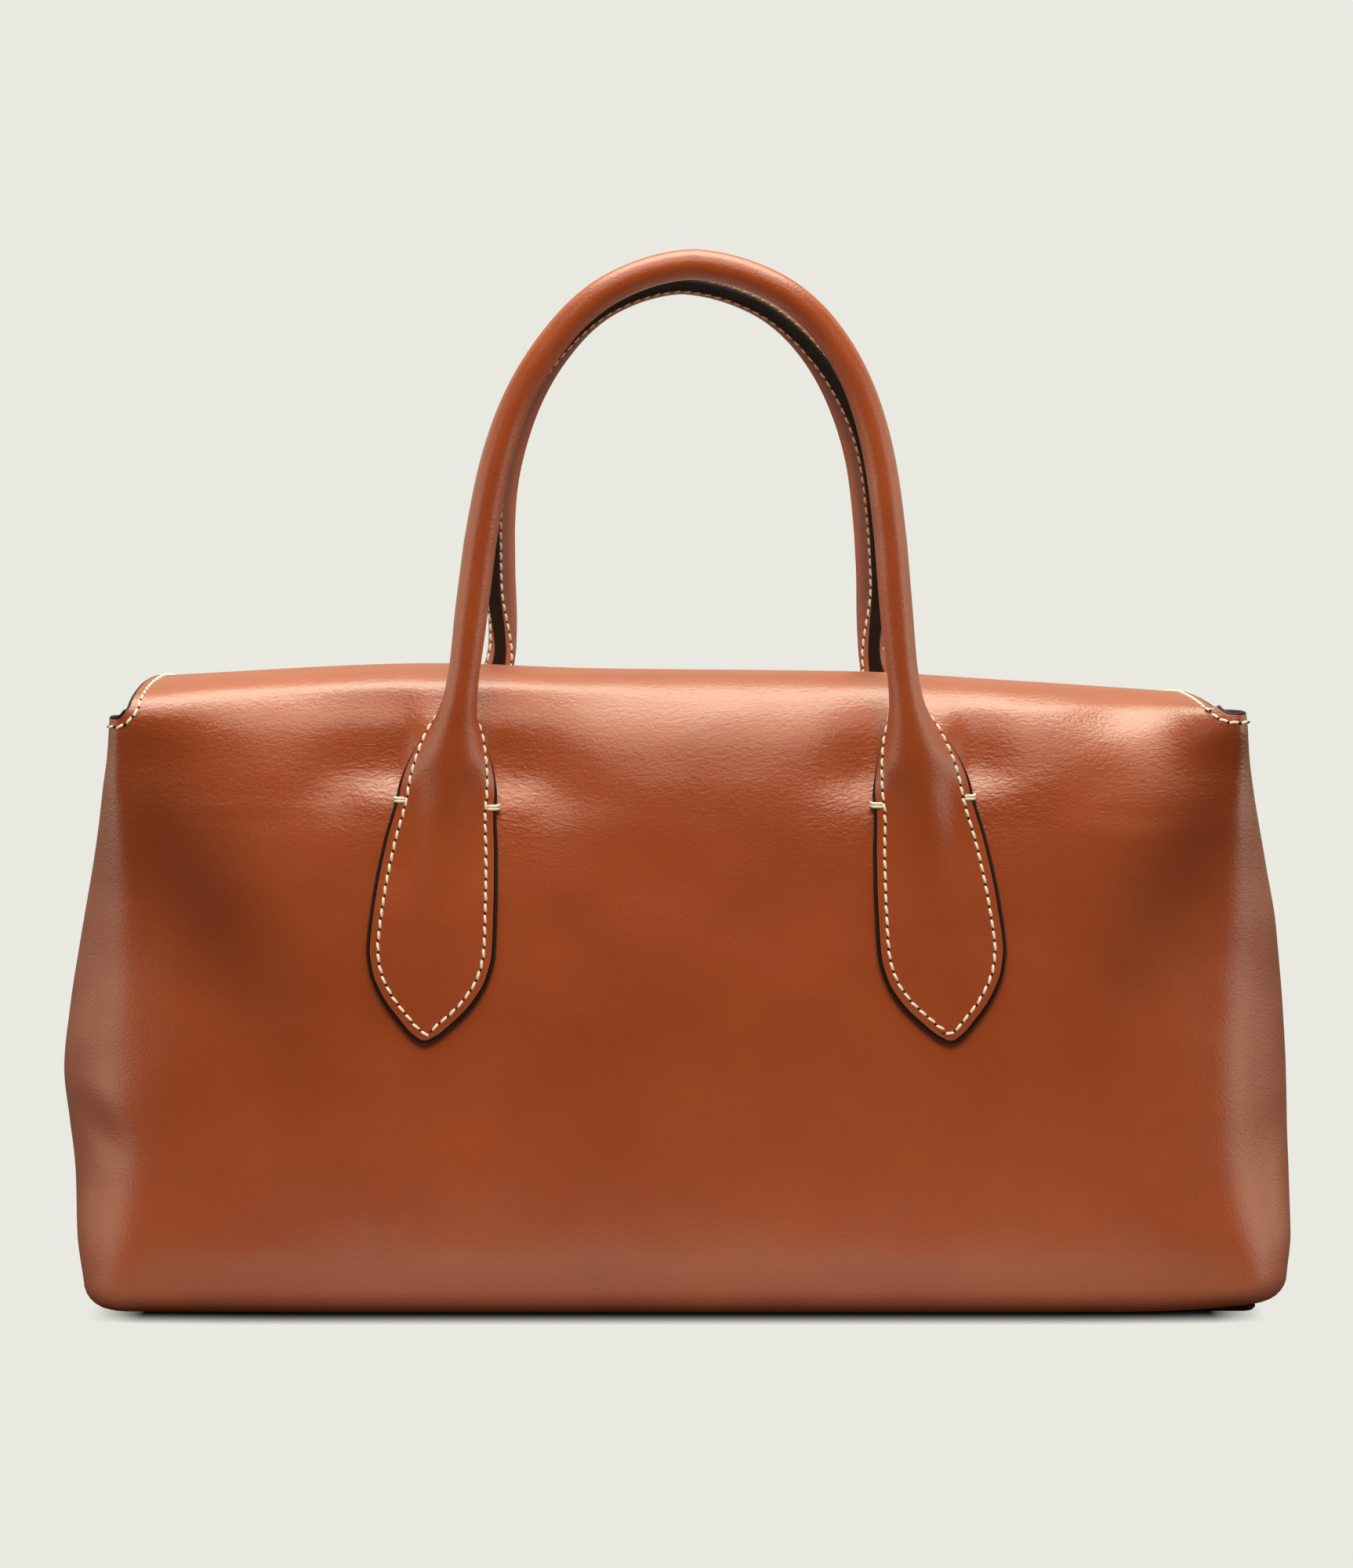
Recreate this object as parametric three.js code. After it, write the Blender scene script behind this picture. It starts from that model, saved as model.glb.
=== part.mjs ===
// Leather travel bag: two wall panels that meet in a seam down the middle of each end, a front panel that
// carries on over the top as a flap, a base panel, and two rolled handles on leaf-shaped tabs.
// Millimetres, +Z up, front towards -Y, origin under the middle of the bag.
import * as THREE from "three";

// Driving dimensions
const WALL = 2.0; // thickness of the panel leather
const GAP = 0.3; // clearance between neighbouring pieces
const BASE_THICKNESS = 2.2;
const BASE_INSET = 3; // edge of the base panel, in from the walls
const HEM_RADIUS = 7; // turn of the walls where they go under the bag
const HEM_LIP = 8; // hem that lies on the base panel
const RIM = { left: 200.0, right: 201.6 }; // height of the top edge at the two ends
const SEAM_DIP = 8; // the ends' top edge falls this far from the front corners to the seam
const BACK_RIM_DIP = 18; // the back panel's top edge lies this far below the front's, under the flap
const CORNER_LIFT = { left: 1, right: 3.2 }; // bottom corners that curl up off the base panel
const CORNER_LIFT_REACH = 26;
const CORNER_LIFT_TOP = 60; // height where the curl has died out
const SMALLEST_CORNER = 1.5;
const FLAP_FOOT = { left: 1.3, right: 5.5 }; // straight rim between the flap and the round of each corner
const END_BELLY = 1.5; // outward swell of each half of an end
const FLAP_CREST_Y = -38.4; // the flap is highest here
const FLAP_END_CORNER = 14; // round corners of the flap's free edge
const FLAP_CORNER_POWER = 3; // keeps that rounding close to the free edge
const HANDLE_Y = 79.4; // the handles' middle plane, front and back
const HANDLE_RADIUS = 4.85;
const TAB_THICKNESS = 2.6;
const BAR_TACK_Z = 171; // the tabs are sewn down below this height and free above it
const LIFT_OFF = 6; // height over which a tab parts from the wall
const RIDGE_FOOT_Z = 149; // the roll's ridge runs out on the tab here
const RIDGE_HALF = 11; // half-width of that ridge
const NECK_Z = 204; // the tab has drawn in to the roll here
const ROUND_Z = 206; // the roll is round from here up
const ROUND_SLACK = 1; // keeps the round's shoulder just outside the roll
const LEG_TOP_Z = 256; // the legs pass into the arch here

// Outline of the walls in plan, by height. left and right are the half-widths at the corners, the seam
// columns those at the middle of each end: the ends fold inwards at the top and swell lower down.
const SECTIONS = [
  { z: 9.5, left: 200.0, right: 203.2, leftSeam: 202.0, rightSeam: 205.0, depth: 87.0, corner: 14 },
  { z: 24, left: 201.0, right: 205.9, leftSeam: 203.5, rightSeam: 207.2, depth: 88.0, corner: 17 },
  { z: 45, left: 201.8, right: 205.6, leftSeam: 205.5, rightSeam: 208.5, depth: 87.3, corner: 19 },
  { z: 62, left: 204.6, right: 204.8, leftSeam: 208.2, rightSeam: 208.9, depth: 86.0, corner: 20 },
  { z: 78, left: 206.2, right: 204.4, leftSeam: 208.8, rightSeam: 208.2, depth: 84.6, corner: 20 },
  { z: 100, left: 204.0, right: 203.6, leftSeam: 204.6, rightSeam: 204.6, depth: 82.6, corner: 18 },
  { z: 125, left: 200.6, right: 201.9, leftSeam: 195.0, rightSeam: 195.0, depth: 80.2, corner: 14 },
  { z: 150, left: 196.8, right: 198.7, leftSeam: 181.0, rightSeam: 181.0, depth: 77.8, corner: 10 },
  { z: 175, left: 193.6, right: 194.2, leftSeam: 166.0, rightSeam: 166.0, depth: 74.8, corner: 6.5 },
  { z: 200, left: 191.1, right: 191.4, leftSeam: 153.0, rightSeam: 153.0, depth: 70.0, corner: 4 },
];

// Profile of the flap from the front rim over the top and down the back. run is the way along the leather,
// rise the share of the crest's height over the rim, drop a fall from it, narrower the loss of half-width.
const FLAP = [
  { run: 0, y: -70.0, rise: 0.0, drop: 0, narrower: 0.0 },
  { run: 6, y: -68.4, rise: 0.42, drop: 0, narrower: 1.5 },
  { run: 12, y: -64.4, rise: 0.74, drop: 0, narrower: 2.9 },
  { run: 22, y: -55.2, rise: 0.95, drop: 0, narrower: 4.4 },
  { run: 39, y: FLAP_CREST_Y, rise: 1.0, drop: 0, narrower: 5.6 },
  { run: 77, y: -0.5, rise: 0.9, drop: 1.6, narrower: 6.0 },
  { run: 112, y: 34.3, rise: 0.74, drop: 4.0, narrower: 6.0 },
  { run: 133, y: 55.0, rise: 0.54, drop: 6.0, narrower: 6.0 },
  { run: 147, y: 67.4, rise: 0.26, drop: 8.5, narrower: 6.0 },
  { run: 156, y: 73.8, rise: 0.0, drop: 12, narrower: 6.0 },
  { run: 162, y: 76.3, rise: 0.0, drop: 17, narrower: 6.0 },
  { run: 166, y: 76.9, rise: 0.0, drop: 21, narrower: 6.0 },
];

// Height of the flap's crest across the bag: it slopes down to the right.
const CREST = [
  { x: -177, z: 210.0 },
  { x: -82, z: 214.2 },
  { x: -30, z: 212.5 },
  { x: 60, z: 211.4 },
  { x: 112, z: 208.8 },
  { x: 177, z: 204.6 },
];

// Soft dents of the front and back, a Gaussian each: hollows over the bar tacks where the handles hold the
// leather, wide shallow ones towards the middle and the ends, and a slight belly low down.
const DENTS = [
  { x: -104, z: 186, wide: 17, tall: 12, depth: 2.6 },
  { x: -50, z: 185, wide: 17, tall: 12, depth: 2.6 },
  { x: 55, z: 185, wide: 17, tall: 12, depth: 2.6 },
  { x: 109, z: 186, wide: 19, tall: 12, depth: 2.8 },
  { x: 3, z: 182, wide: 42, tall: 20, depth: 1.6 },
  { x: -146, z: 176, wide: 26, tall: 20, depth: 1.4 },
  { x: 146, z: 179, wide: 28, tall: 18, depth: 2.2 },
  { x: 0, z: 58, wide: 140, tall: 40, depth: -1.4 },
];

// Axis and half-width of each handle leg, from the tab's tip up to the arch.
const LEG = [
  { z: 93, left: -83.4, right: 90.4, half: 1.0 },
  { z: 95, left: -83.3, right: 90.2, half: 4.2 },
  { z: 98, left: -83.1, right: 89.9, half: 7.4 },
  { z: 106, left: -82.5, right: 89.1, half: 14.4 },
  { z: 114.5, left: -81.9, right: 88.2, half: 18.8 },
  { z: 123, left: -81.3, right: 87.3, half: 20.3 },
  { z: 139, left: -80.0, right: 85.6, half: 19.6 },
  { z: 156, left: -78.2, right: 83.5, half: 18.0 },
  { z: 173, left: -76.0, right: 81.0, half: 15.7 },
  { z: 189, left: -74.0, right: 78.2, half: 12.6 },
  { z: 199, left: -72.6, right: 76.3, half: 8.4 },
  { z: 208, left: -71.1, right: 74.9, half: 5.7 },
  { z: 219, left: -69.4, right: 73.4, half: 4.9 },
  { z: 236, left: -67.3, right: 71.7, half: 4.7 },
  { z: 256, left: -64.7, right: 70.0, half: 4.7 },
];

// Centre line of the arch between the two legs, leaning a little to the right.
const ARCH = [
  { x: -60.0, z: 280.4 },
  { x: -51.9, z: 304.0 },
  { x: -39.8, z: 323.3 },
  { x: -23.4, z: 338.6 },
  { x: 4.8, z: 347.5 },
  { x: 34.6, z: 338.5 },
  { x: 50.3, z: 323.5 },
  { x: 60.6, z: 304.2 },
  { x: 66.8, z: 280.4 },
];

// Mesh steps
const FRONT_COLUMNS = 14; // each side of the middle
const CORNER_COLUMNS = 5;
const END_COLUMNS = 6;
const HEM_STEPS = 3;
const WALL_STEPS = 10;
const FLAP_STEPS = 14;
const ARCH_STEPS = 22;
const RIDGE_POINTS = 8; // across the face of a handle section
const SEAM_POINTS = 6; // across its back
const LEG_STATIONS = [
  93, 94, 95.6, 98.5, 103, 108.5, 115, 123, 133, 146, 159, // tab
  170, 174, 178, 184, 190, 196, 201, 207, 215, 226, 240, // from the bar tacks up
];

const LEATHER = { color: 0x94502e, roughness: 0.42, metalness: 0 };
const BASE_LEATHER = { color: 0x2a1a14, roughness: 0.6, metalness: 0 };

// Share of the way from low to high, eased at both ends.
const ease = (low, high, at) => THREE.MathUtils.smoothstep(at, low, high);

// Slope of a table's column at a row, zero at a turning point so that the curve never overshoots.
function slopeAt(rows, row, key, column) {
  const secant = (i) => (rows[i + 1][column] - rows[i][column]) / (rows[i + 1][key] - rows[i][key]);
  if (row === 0) return secant(0);
  if (row === rows.length - 1) return secant(row - 1);
  const before = secant(row - 1);
  const after = secant(row);
  return before * after <= 0 ? 0 : (2 * before * after) / (before + after);
}

// A table's column read at any value of its key, along a smooth curve through the rows.
function along(rows, key, at, column) {
  const last = rows.length - 1;
  if (at <= rows[0][key]) return rows[0][column];
  if (at >= rows[last][key]) return rows[last][column];
  const row = rows.findIndex((r) => r[key] > at) - 1;
  const span = rows[row + 1][key] - rows[row][key];
  const t = (at - rows[row][key]) / span;
  const rise = slopeAt(rows, row, key, column) * span;
  const fall = slopeAt(rows, row + 1, key, column) * span;
  const from = rows[row][column];
  const to = rows[row + 1][column];
  const start = (from * (1 + 2 * t) + rise * t) * (1 - t) ** 2;
  const finish = (to * (3 - 2 * t) + fall * (t - 1)) * t ** 2;
  return start + finish;
}

// How far the leather is pushed in at a place on the front.
function dentAt(x, z) {
  let depth = 0;
  for (const dent of DENTS) {
    depth += dent.depth * Math.exp(-(((x - dent.x) / dent.wide) ** 2) - ((z - dent.z) / dent.tall) ** 2);
  }
  return depth;
}

// The columns of a wall panel, from the left seam across the front to the right seam.
function wallColumns() {
  const half = [];
  for (let i = 1; i <= FRONT_COLUMNS; i++) half.push({ stretch: "front", share: i / FRONT_COLUMNS });
  for (let i = 1; i <= CORNER_COLUMNS; i++) half.push({ stretch: "corner", share: i / CORNER_COLUMNS });
  for (let i = 1; i <= END_COLUMNS; i++) half.push({ stretch: "end", share: i / END_COLUMNS });
  const left = half.map((c) => ({ ...c, side: -1 })).reverse();
  const right = half.map((c) => ({ ...c, side: 1 }));
  return [...left, { stretch: "front", share: 0, side: 1 }, ...right];
}

// Sizes of the plan outline on one side at a height, drawn in by inset.
function outlineSizes(z, inset, side) {
  const name = side < 0 ? "left" : "right";
  const wide = along(SECTIONS, "z", z, name) - inset;
  const seam = along(SECTIONS, "z", z, name + "Seam") - inset;
  const deep = along(SECTIONS, "z", z, "depth") - inset;
  const radius = Math.max(along(SECTIONS, "z", z, "corner") - inset, SMALLEST_CORNER);
  const end = new THREE.Vector2(seam - wide, deep - GAP / 2).normalize();
  const turn = Math.acos(end.x);
  const cut = radius * Math.tan(turn / 2);
  return { wide, seam, deep, radius, end, turn, cut, front: wide - cut - FLAP_FOOT[name] };
}

// A point of the plan outline: straight across the front, round the corner, then along the end to its seam.
function planPoint(z, inset, column) {
  const { wide, seam, deep, radius, end, turn, cut, front } = outlineSizes(z, inset, column.side);
  const point = new THREE.Vector2(front * column.share, -deep);
  if (column.stretch === "corner") {
    const foot = wide - cut - front;
    const way = (foot + radius * turn) * column.share;
    const angle = Math.max(way - foot, 0) / radius;
    point.set(front + Math.min(way, foot) + radius * Math.sin(angle), -deep + radius * (1 - Math.cos(angle)));
  }
  if (column.stretch === "end") {
    const start = new THREE.Vector2(wide, -deep).addScaledVector(end, cut);
    const swell = END_BELLY * Math.sin(Math.PI * column.share);
    point.lerpVectors(start, new THREE.Vector2(seam, -GAP / 2), column.share);
    point.add(new THREE.Vector2(end.y, -end.x).multiplyScalar(swell));
  }
  return point.set(point.x * column.side, point.y);
}

// Place of a column across the bag, from -1 at the left end to 1 at the right.
const acrossOf = (column) => column.side * (column.stretch === "front" ? column.share : 1);

// Height of the top edge at a column. The back panel's edge dips under the flap.
function rimAt(column, back) {
  const across = acrossOf(column);
  const level = THREE.MathUtils.lerp(RIM.left, RIM.right, ease(-1, 1, across));
  const inward = column.stretch === "end" ? ease(0, 1, column.share) : 0;
  return level - THREE.MathUtils.lerp(back ? BACK_RIM_DIP : 0, SEAM_DIP, inward);
}

// The levels of a wall panel: hem lip, turn under the bag, then the wall up to the rim.
function wallLevels() {
  const bottom = BASE_THICKNESS + GAP;
  const levels = [{ z: bottom, inset: HEM_RADIUS + HEM_LIP, climb: 0 }];
  for (let i = 0; i < HEM_STEPS; i++) {
    const angle = (i / HEM_STEPS) * (Math.PI / 2);
    levels.push({
      z: bottom + HEM_RADIUS * (1 - Math.cos(angle)),
      inset: HEM_RADIUS * (1 - Math.sin(angle)),
      climb: 0,
    });
  }
  for (let i = 0; i <= WALL_STEPS; i++) {
    levels.push({ z: bottom + HEM_RADIUS, inset: 0, climb: i / WALL_STEPS });
  }
  return levels;
}

// A point on a wall's outer face.
function wallPoint(level, column, back) {
  const z = THREE.MathUtils.lerp(level.z, rimAt(column, back), level.climb);
  const plan = planPoint(z, level.inset, column);
  const { wide, deep } = outlineSizes(z, 0, column.side);
  const reach = Math.hypot(Math.abs(plan.x) - wide, plan.y + deep) / CORNER_LIFT_REACH;
  const lift = (column.side < 0 ? CORNER_LIFT.left : CORNER_LIFT.right) * Math.exp(-reach * reach);
  const y = plan.y + dentAt(plan.x, z) * ease(0, deep, -plan.y);
  return new THREE.Vector3(plan.x, y, z + lift * (1 - ease(0, CORNER_LIFT_TOP, z)));
}

// Height of the flap at a place across the bag, from its rise over the rim and its drop behind it.
function flapHeight(x, rim, rise, drop, half) {
  const crest = along(CREST, "x", x, "z");
  const last = FLAP[FLAP.length - 1].drop;
  const past = Math.max(0, Math.abs(x) - (half - FLAP_END_CORNER)) / FLAP_END_CORNER;
  const round = FLAP_END_CORNER * (1 - Math.sqrt(1 - Math.min(past, 1) ** 2));
  const rounding = round * (drop / last) ** FLAP_CORNER_POWER;
  return rim + rise * (crest - rim) - drop + Math.min(rounding, drop);
}

// A point on the flap's outer face, at a way along its profile.
function flapPoint(run, column) {
  const rim = rimAt(column, false);
  const half = outlineSizes(rim, 0, column.side).front - along(FLAP, "run", run, "narrower");
  const x = column.side * column.share * half;
  const z = flapHeight(x, rim, along(FLAP, "run", run, "rise"), along(FLAP, "run", run, "drop"), half);
  const y = along(FLAP, "run", run, "y");
  return new THREE.Vector3(x, y + dentAt(x, z) * (1 - ease(FLAP[0].y, FLAP_CREST_Y, y)), z);
}

// A leather piece from a sheet of outer points: its inner face, its thickness, and the edge all round.
// The edge along the end seams stays on its own side of the seam.
function thicken(points, triangles, seamIndices) {
  const outer = new THREE.BufferGeometry().setFromPoints(points).setIndex(triangles.flat());
  outer.computeVertexNormals();
  const normals = outer.getAttribute("normal");
  const normalAt = (i) => new THREE.Vector3().fromBufferAttribute(normals, i);
  const inner = points.map((point, i) => point.clone().addScaledVector(normalAt(i), -WALL));
  for (const i of seamIndices) {
    const side = Math.sign(points[i].y);
    inner[i].y = side * Math.max(side * inner[i].y, side * points[i].y);
  }
  const count = points.length;
  const faces = triangles.flatMap(([a, b, c]) => [[a, b, c], [a + count, c + count, b + count]]);
  const open = new Set(triangles.flatMap(([a, b, c]) => [`${a},${b}`, `${b},${c}`, `${c},${a}`]));
  for (const edge of open) {
    const [a, b] = edge.split(",").map(Number);
    if (!open.has(`${b},${a}`)) faces.push([b, a, a + count], [b, a + count, b + count]);
  }
  return new THREE.BufferGeometry().setFromPoints([...points, ...inner]).setIndex(faces.flat());
}

// Two triangles for each cell of a grid of point numbers, facing out of the bag.
function gridTriangles(grid) {
  const triangles = [];
  for (let r = 0; r + 1 < grid.length; r++) {
    for (let c = 0; c + 1 < grid[r].length; c++) {
      const [a, b, d, e] = [grid[r][c], grid[r][c + 1], grid[r + 1][c], grid[r + 1][c + 1]];
      triangles.push([a, b, e], [a, e, d]);
    }
  }
  return triangles;
}

// A wall panel, with the flap growing out of the middle of its rim on the front one.
function panelGeometry(back) {
  const columns = wallColumns();
  const points = [];
  const add = (point) => points.push(back ? point.multiply(new THREE.Vector3(1, -1, 1)) : point) - 1;
  const wall = wallLevels().map((level) => columns.map((column) => add(wallPoint(level, column, back))));
  const seam = wall.flatMap((row) => [row[0], row[row.length - 1]]);
  let triangles = gridTriangles(wall);
  if (!back) {
    const onFlap = columns.map((c, i) => i).filter((i) => columns[i].stretch === "front");
    const rows = [onFlap.map((i) => wall[wall.length - 1][i])];
    const length = FLAP[FLAP.length - 1].run;
    for (let k = 1; k <= FLAP_STEPS; k++) {
      rows.push(onFlap.map((i) => add(flapPoint((length * k) / FLAP_STEPS, columns[i]))));
    }
    triangles = triangles.concat(gridTriangles(rows));
  }
  if (back) triangles = triangles.map(([a, b, c]) => [a, c, b]);
  return thicken(points, triangles, seam);
}

// The base panel: the walls' outline drawn in a little, as a flat plate.
function baseGeometry() {
  const front = wallColumns().map((column) => planPoint(SECTIONS[0].z, BASE_INSET, column));
  const behind = front.map((p) => new THREE.Vector2(p.x, -p.y)).reverse();
  const outline = new THREE.Shape([...front, ...behind]);
  return new THREE.ExtrudeGeometry(outline, { depth: BASE_THICKNESS, bevelEnabled: false });
}

// Stations of a handle from the left tab's tip over the arch to the right tab's tip.
function handleStations() {
  const leg = (name) =>
    LEG_STATIONS.map((z) => ({ x: along(LEG, "z", z, name), z, half: along(LEG, "z", z, "half") }));
  const top = LEG[LEG.length - 1];
  const arch = [{ x: top.left, z: LEG_TOP_Z }, ...ARCH, { x: top.right, z: LEG_TOP_Z }];
  const places = arch.map((p) => new THREE.Vector3(p.x, 0, p.z));
  const curve = new THREE.CatmullRomCurve3(places, false, "centripetal");
  const over = curve.getSpacedPoints(ARCH_STEPS).map((p) => ({ x: p.x, z: p.z, half: top.half }));
  return [...leg("left"), ...over, ...leg("right").reverse()];
}

// One closed section of a handle: the face with its ridge, then the back. Below the bar tacks the section
// lies on the wall, above them it stands free and rounds off into the roll.
function handleSection(station, before, after) {
  const tangent = new THREE.Vector2(after.x - before.x, after.z - before.z).normalize();
  const edge = TAB_THICKNESS / 2;
  const roll = ease(BAR_TACK_Z, NECK_Z, station.z);
  const face = THREE.MathUtils.lerp(edge, HANDLE_RADIUS, ease(RIDGE_FOOT_Z, ROUND_Z, station.z));
  const rear = THREE.MathUtils.lerp(edge, HANDLE_RADIUS, ease(BAR_TACK_Z + LIFT_OFF, ROUND_Z, station.z));
  const sewn = 1 - ease(BAR_TACK_Z, BAR_TACK_Z + LIFT_OFF, station.z);
  const ridge = Math.min(
    station.half,
    THREE.MathUtils.lerp(RIDGE_HALF, HANDLE_RADIUS + ROUND_SLACK, roll),
  );
  const point = (share, height, sign) => {
    const across = station.half * share;
    const q = Math.min(Math.abs(across) / ridge, 1);
    const bump = THREE.MathUtils.lerp(Math.cos((Math.PI / 2) * q) ** 2, Math.sqrt(1 - q * q), roll);
    const x = station.x + across * tangent.y;
    const z = station.z - across * tangent.x;
    const wallY = -along(SECTIONS, "z", z, "depth") + dentAt(x, z);
    const middle = THREE.MathUtils.lerp(-HANDLE_Y, wallY - GAP - edge, sewn);
    return new THREE.Vector3(x, middle + sign * (edge + (height - edge) * bump), z);
  };
  const spread = (count, i) => -Math.cos((Math.PI * i) / (count - 1));
  const section = [];
  for (let i = 0; i < RIDGE_POINTS; i++) section.push(point(spread(RIDGE_POINTS, i), face, -1));
  for (let i = 0; i < SEAM_POINTS; i++) section.push(point(-spread(SEAM_POINTS, i), rear, 1));
  return section;
}

// A handle: its sections joined into one closed skin.
function handleGeometry(back) {
  const stations = handleStations();
  const sections = stations.map((station, i) =>
    handleSection(station, stations[Math.max(i - 1, 0)], stations[Math.min(i + 1, stations.length - 1)]),
  );
  const ring = sections[0].length;
  const faces = [];
  for (let s = 0; s + 1 < sections.length; s++) {
    for (let i = 0; i < ring; i++) {
      const [a, b] = [s * ring + i, s * ring + ((i + 1) % ring)];
      faces.push([a, b, b + ring], [a, b + ring, a + ring]);
    }
  }
  const end = (sections.length - 1) * ring;
  for (let i = 1; i + 1 < ring; i++) faces.push([0, i + 1, i], [end, end + i, end + i + 1]);
  const mirror = new THREE.Vector3(1, back ? -1 : 1, 1);
  const points = sections.flat().map((p) => p.multiply(mirror));
  const index = back ? faces.map(([a, b, c]) => [a, c, b]) : faces;
  return new THREE.BufferGeometry().setFromPoints(points).setIndex(index.flat());
}

function piece(name, geometry, finish) {
  const mesh = new THREE.Mesh(geometry, new THREE.MeshStandardMaterial(finish));
  mesh.name = name;
  return mesh;
}

const bag = new THREE.Group();
bag.add(
  piece("front_panel", panelGeometry(false), LEATHER),
  piece("back_panel", panelGeometry(true), LEATHER),
  piece("base_panel", baseGeometry(), BASE_LEATHER),
  piece("handle_front", handleGeometry(false), LEATHER),
  piece("handle_back", handleGeometry(true), LEATHER),
);

export default bag;
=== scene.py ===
"""Finished look of the leather travel bag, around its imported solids. Millimetres until a mesh is made."""
import math
from types import SimpleNamespace

import bmesh
import bpy
import numpy as np
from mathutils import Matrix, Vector


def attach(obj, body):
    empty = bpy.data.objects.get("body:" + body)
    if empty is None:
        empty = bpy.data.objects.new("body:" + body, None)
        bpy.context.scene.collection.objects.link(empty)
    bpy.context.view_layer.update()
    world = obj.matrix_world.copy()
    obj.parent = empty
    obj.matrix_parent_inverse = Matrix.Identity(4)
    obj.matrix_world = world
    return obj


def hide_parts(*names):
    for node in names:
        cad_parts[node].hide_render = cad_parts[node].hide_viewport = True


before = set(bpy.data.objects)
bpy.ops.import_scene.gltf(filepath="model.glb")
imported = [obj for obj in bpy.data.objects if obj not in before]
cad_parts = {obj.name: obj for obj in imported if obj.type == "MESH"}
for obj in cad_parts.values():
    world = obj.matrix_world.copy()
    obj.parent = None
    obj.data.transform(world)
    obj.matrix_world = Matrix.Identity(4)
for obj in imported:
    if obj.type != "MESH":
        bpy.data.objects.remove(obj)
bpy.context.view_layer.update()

MM = 0.001


def table(columns, *rows):
    """Rows of numbers as named columns."""
    return dict(zip(columns.split(), np.array(rows, float).T))


# Sizes of the panels
WALL = 2.0
GAP = 0.3
BASE_THICKNESS = 2.2
HEM_BOTTOM = 0.4
HEM_RADIUS = 9
HEM_LIP = 1.0
BASE_INSET = 10.8
BASE_EDGE = 0.8
RIM_LEFT = 200.0
RIM_RIGHT = 201.6
SEAM_DIP = 8
EAR_DIP = 1.6
EAR_STEP = 0.35
BACK_RIM_DIP = 18
CORNER_LIFT_LEFT = -0.3
CORNER_LIFT_RIGHT = 2.8
CORNER_LIFT_REACH = 26
CORNER_LIFT_TOP = 60
SMALLEST_CORNER = 1.5
FLAP_FOOT_LEFT = 2.4
FLAP_FOOT_RIGHT = 6.0
END_BELLY = 1.5
SEAM_TURN = 2.4
SEAM_TURN_SHARE = 0.04
FLAP_CREST_Y = -31
FLAP_END_CORNER = 14
SCOOP_ROUND = 3

# Outline of the walls in plan, by height
SECTIONS = table(
    "z left right left_seam right_seam depth corner",
    (9.5, 199.1, 204.6, 200.8, 205.4, 87.0, 16),
    (24, 202.0, 206.8, 203.4, 207.3, 88.0, 22),
    (45, 203.2, 206.6, 205.4, 208.4, 87.3, 26),
    (62, 205.7, 206.1, 207.4, 208.4, 86.0, 28),
    (78, 207.9, 205.8, 208.4, 207.9, 84.6, 28),
    (100, 206.0, 205.3, 204.8, 204.5, 82.6, 26),
    (125, 203.2, 205.0, 195.0, 195.0, 80.2, 21),
    (150, 199.5, 201.4, 181.0, 181.0, 77.8, 15),
    (175, 194.9, 195.4, 166.0, 166.0, 74.7, 8),
    (185, 192.5, 193.0, 160.6, 160.6, 72.1, 5.5),
    (192, 191.8, 192.2, 157.0, 157.0, 69.4, 4.8),
    (197, 191.4, 191.7, 154.5, 154.5, 66.4, 4.3),
    (200, 191.1, 191.4, 153.0, 153.0, 64.1, 4),
    (203, 190.8, 191.1, 151.5, 151.5, 61.2, 4),
)

# Profile of the flap from the front rim over the top and down the back
FLAP = table(
    "run y rise drop narrower",
    (0, -64.1, 0.0, 0, 0.0),
    (6, -59.2, 0.42, 0, 0.9),
    (12, -53.8, 0.7, 0, 1.8),
    (22, -44.6, 0.93, 0, 2.8),
    (39, FLAP_CREST_Y, 1.0, 0, 3.8),
    (77, -0.5, 0.9, 1.6, 6.0),
    (112, 34.3, 0.74, 4.0, 6.0),
    (133, 55.0, 0.54, 6.0, 6.0),
    (147, 67.4, 0.26, 8.5, 6.0),
    (156, 73.8, 0.0, 12, 6.0),
    (162, 76.3, 0.0, 17, 6.0),
    (166, 76.9, 0.0, 21, 6.0),
)
CREST = table(
    "x z",
    (-177, 210.0),
    (-82, 214.2),
    (-30, 212.5),
    (60, 211.4),
    (112, 208.4),
    (177, 204.0),
)

# Depth of the front's roll by height, and how much lower the roll sits from place to place
ROLL_LOWER = table(
    "x lower",
    (-184, 0.0),
    (-138, -2.6),
    (-90, -2.8),
    (-45, -2.2),
    (-10, 0.2),
    (35, 0.6),
    (60, -0.5),
    (87, -0.4),
    (120, -0.8),
    (152, 5.2),
    (184, 0.0),
)
ROLL = table(
    "z depth",
    (166, 75.9),
    (175, 74.7),
    (185, 72.1),
    (192, 69.4),
    (197, 66.4),
    (200, 64.1),
    (204.8, 59.2),
    (208, 53.8),
    (212, 45.0),
)

# Broad swells of the front and back, by place, reach to each side and depth
SWELLS = table(
    "x z left right up down depth",
    (-146, 176, 26, 26, 20, 20, 1.4),
    (-182, 209, 60, 28, 6, 17, -13.0),
    (186, 202, 20, 60, 8, 14, -12.0),
    (152, 199, 22, 20, 12, 15, 2.2),
    (0, 104, 110, 120, 46, 46, -3.0),
)

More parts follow.
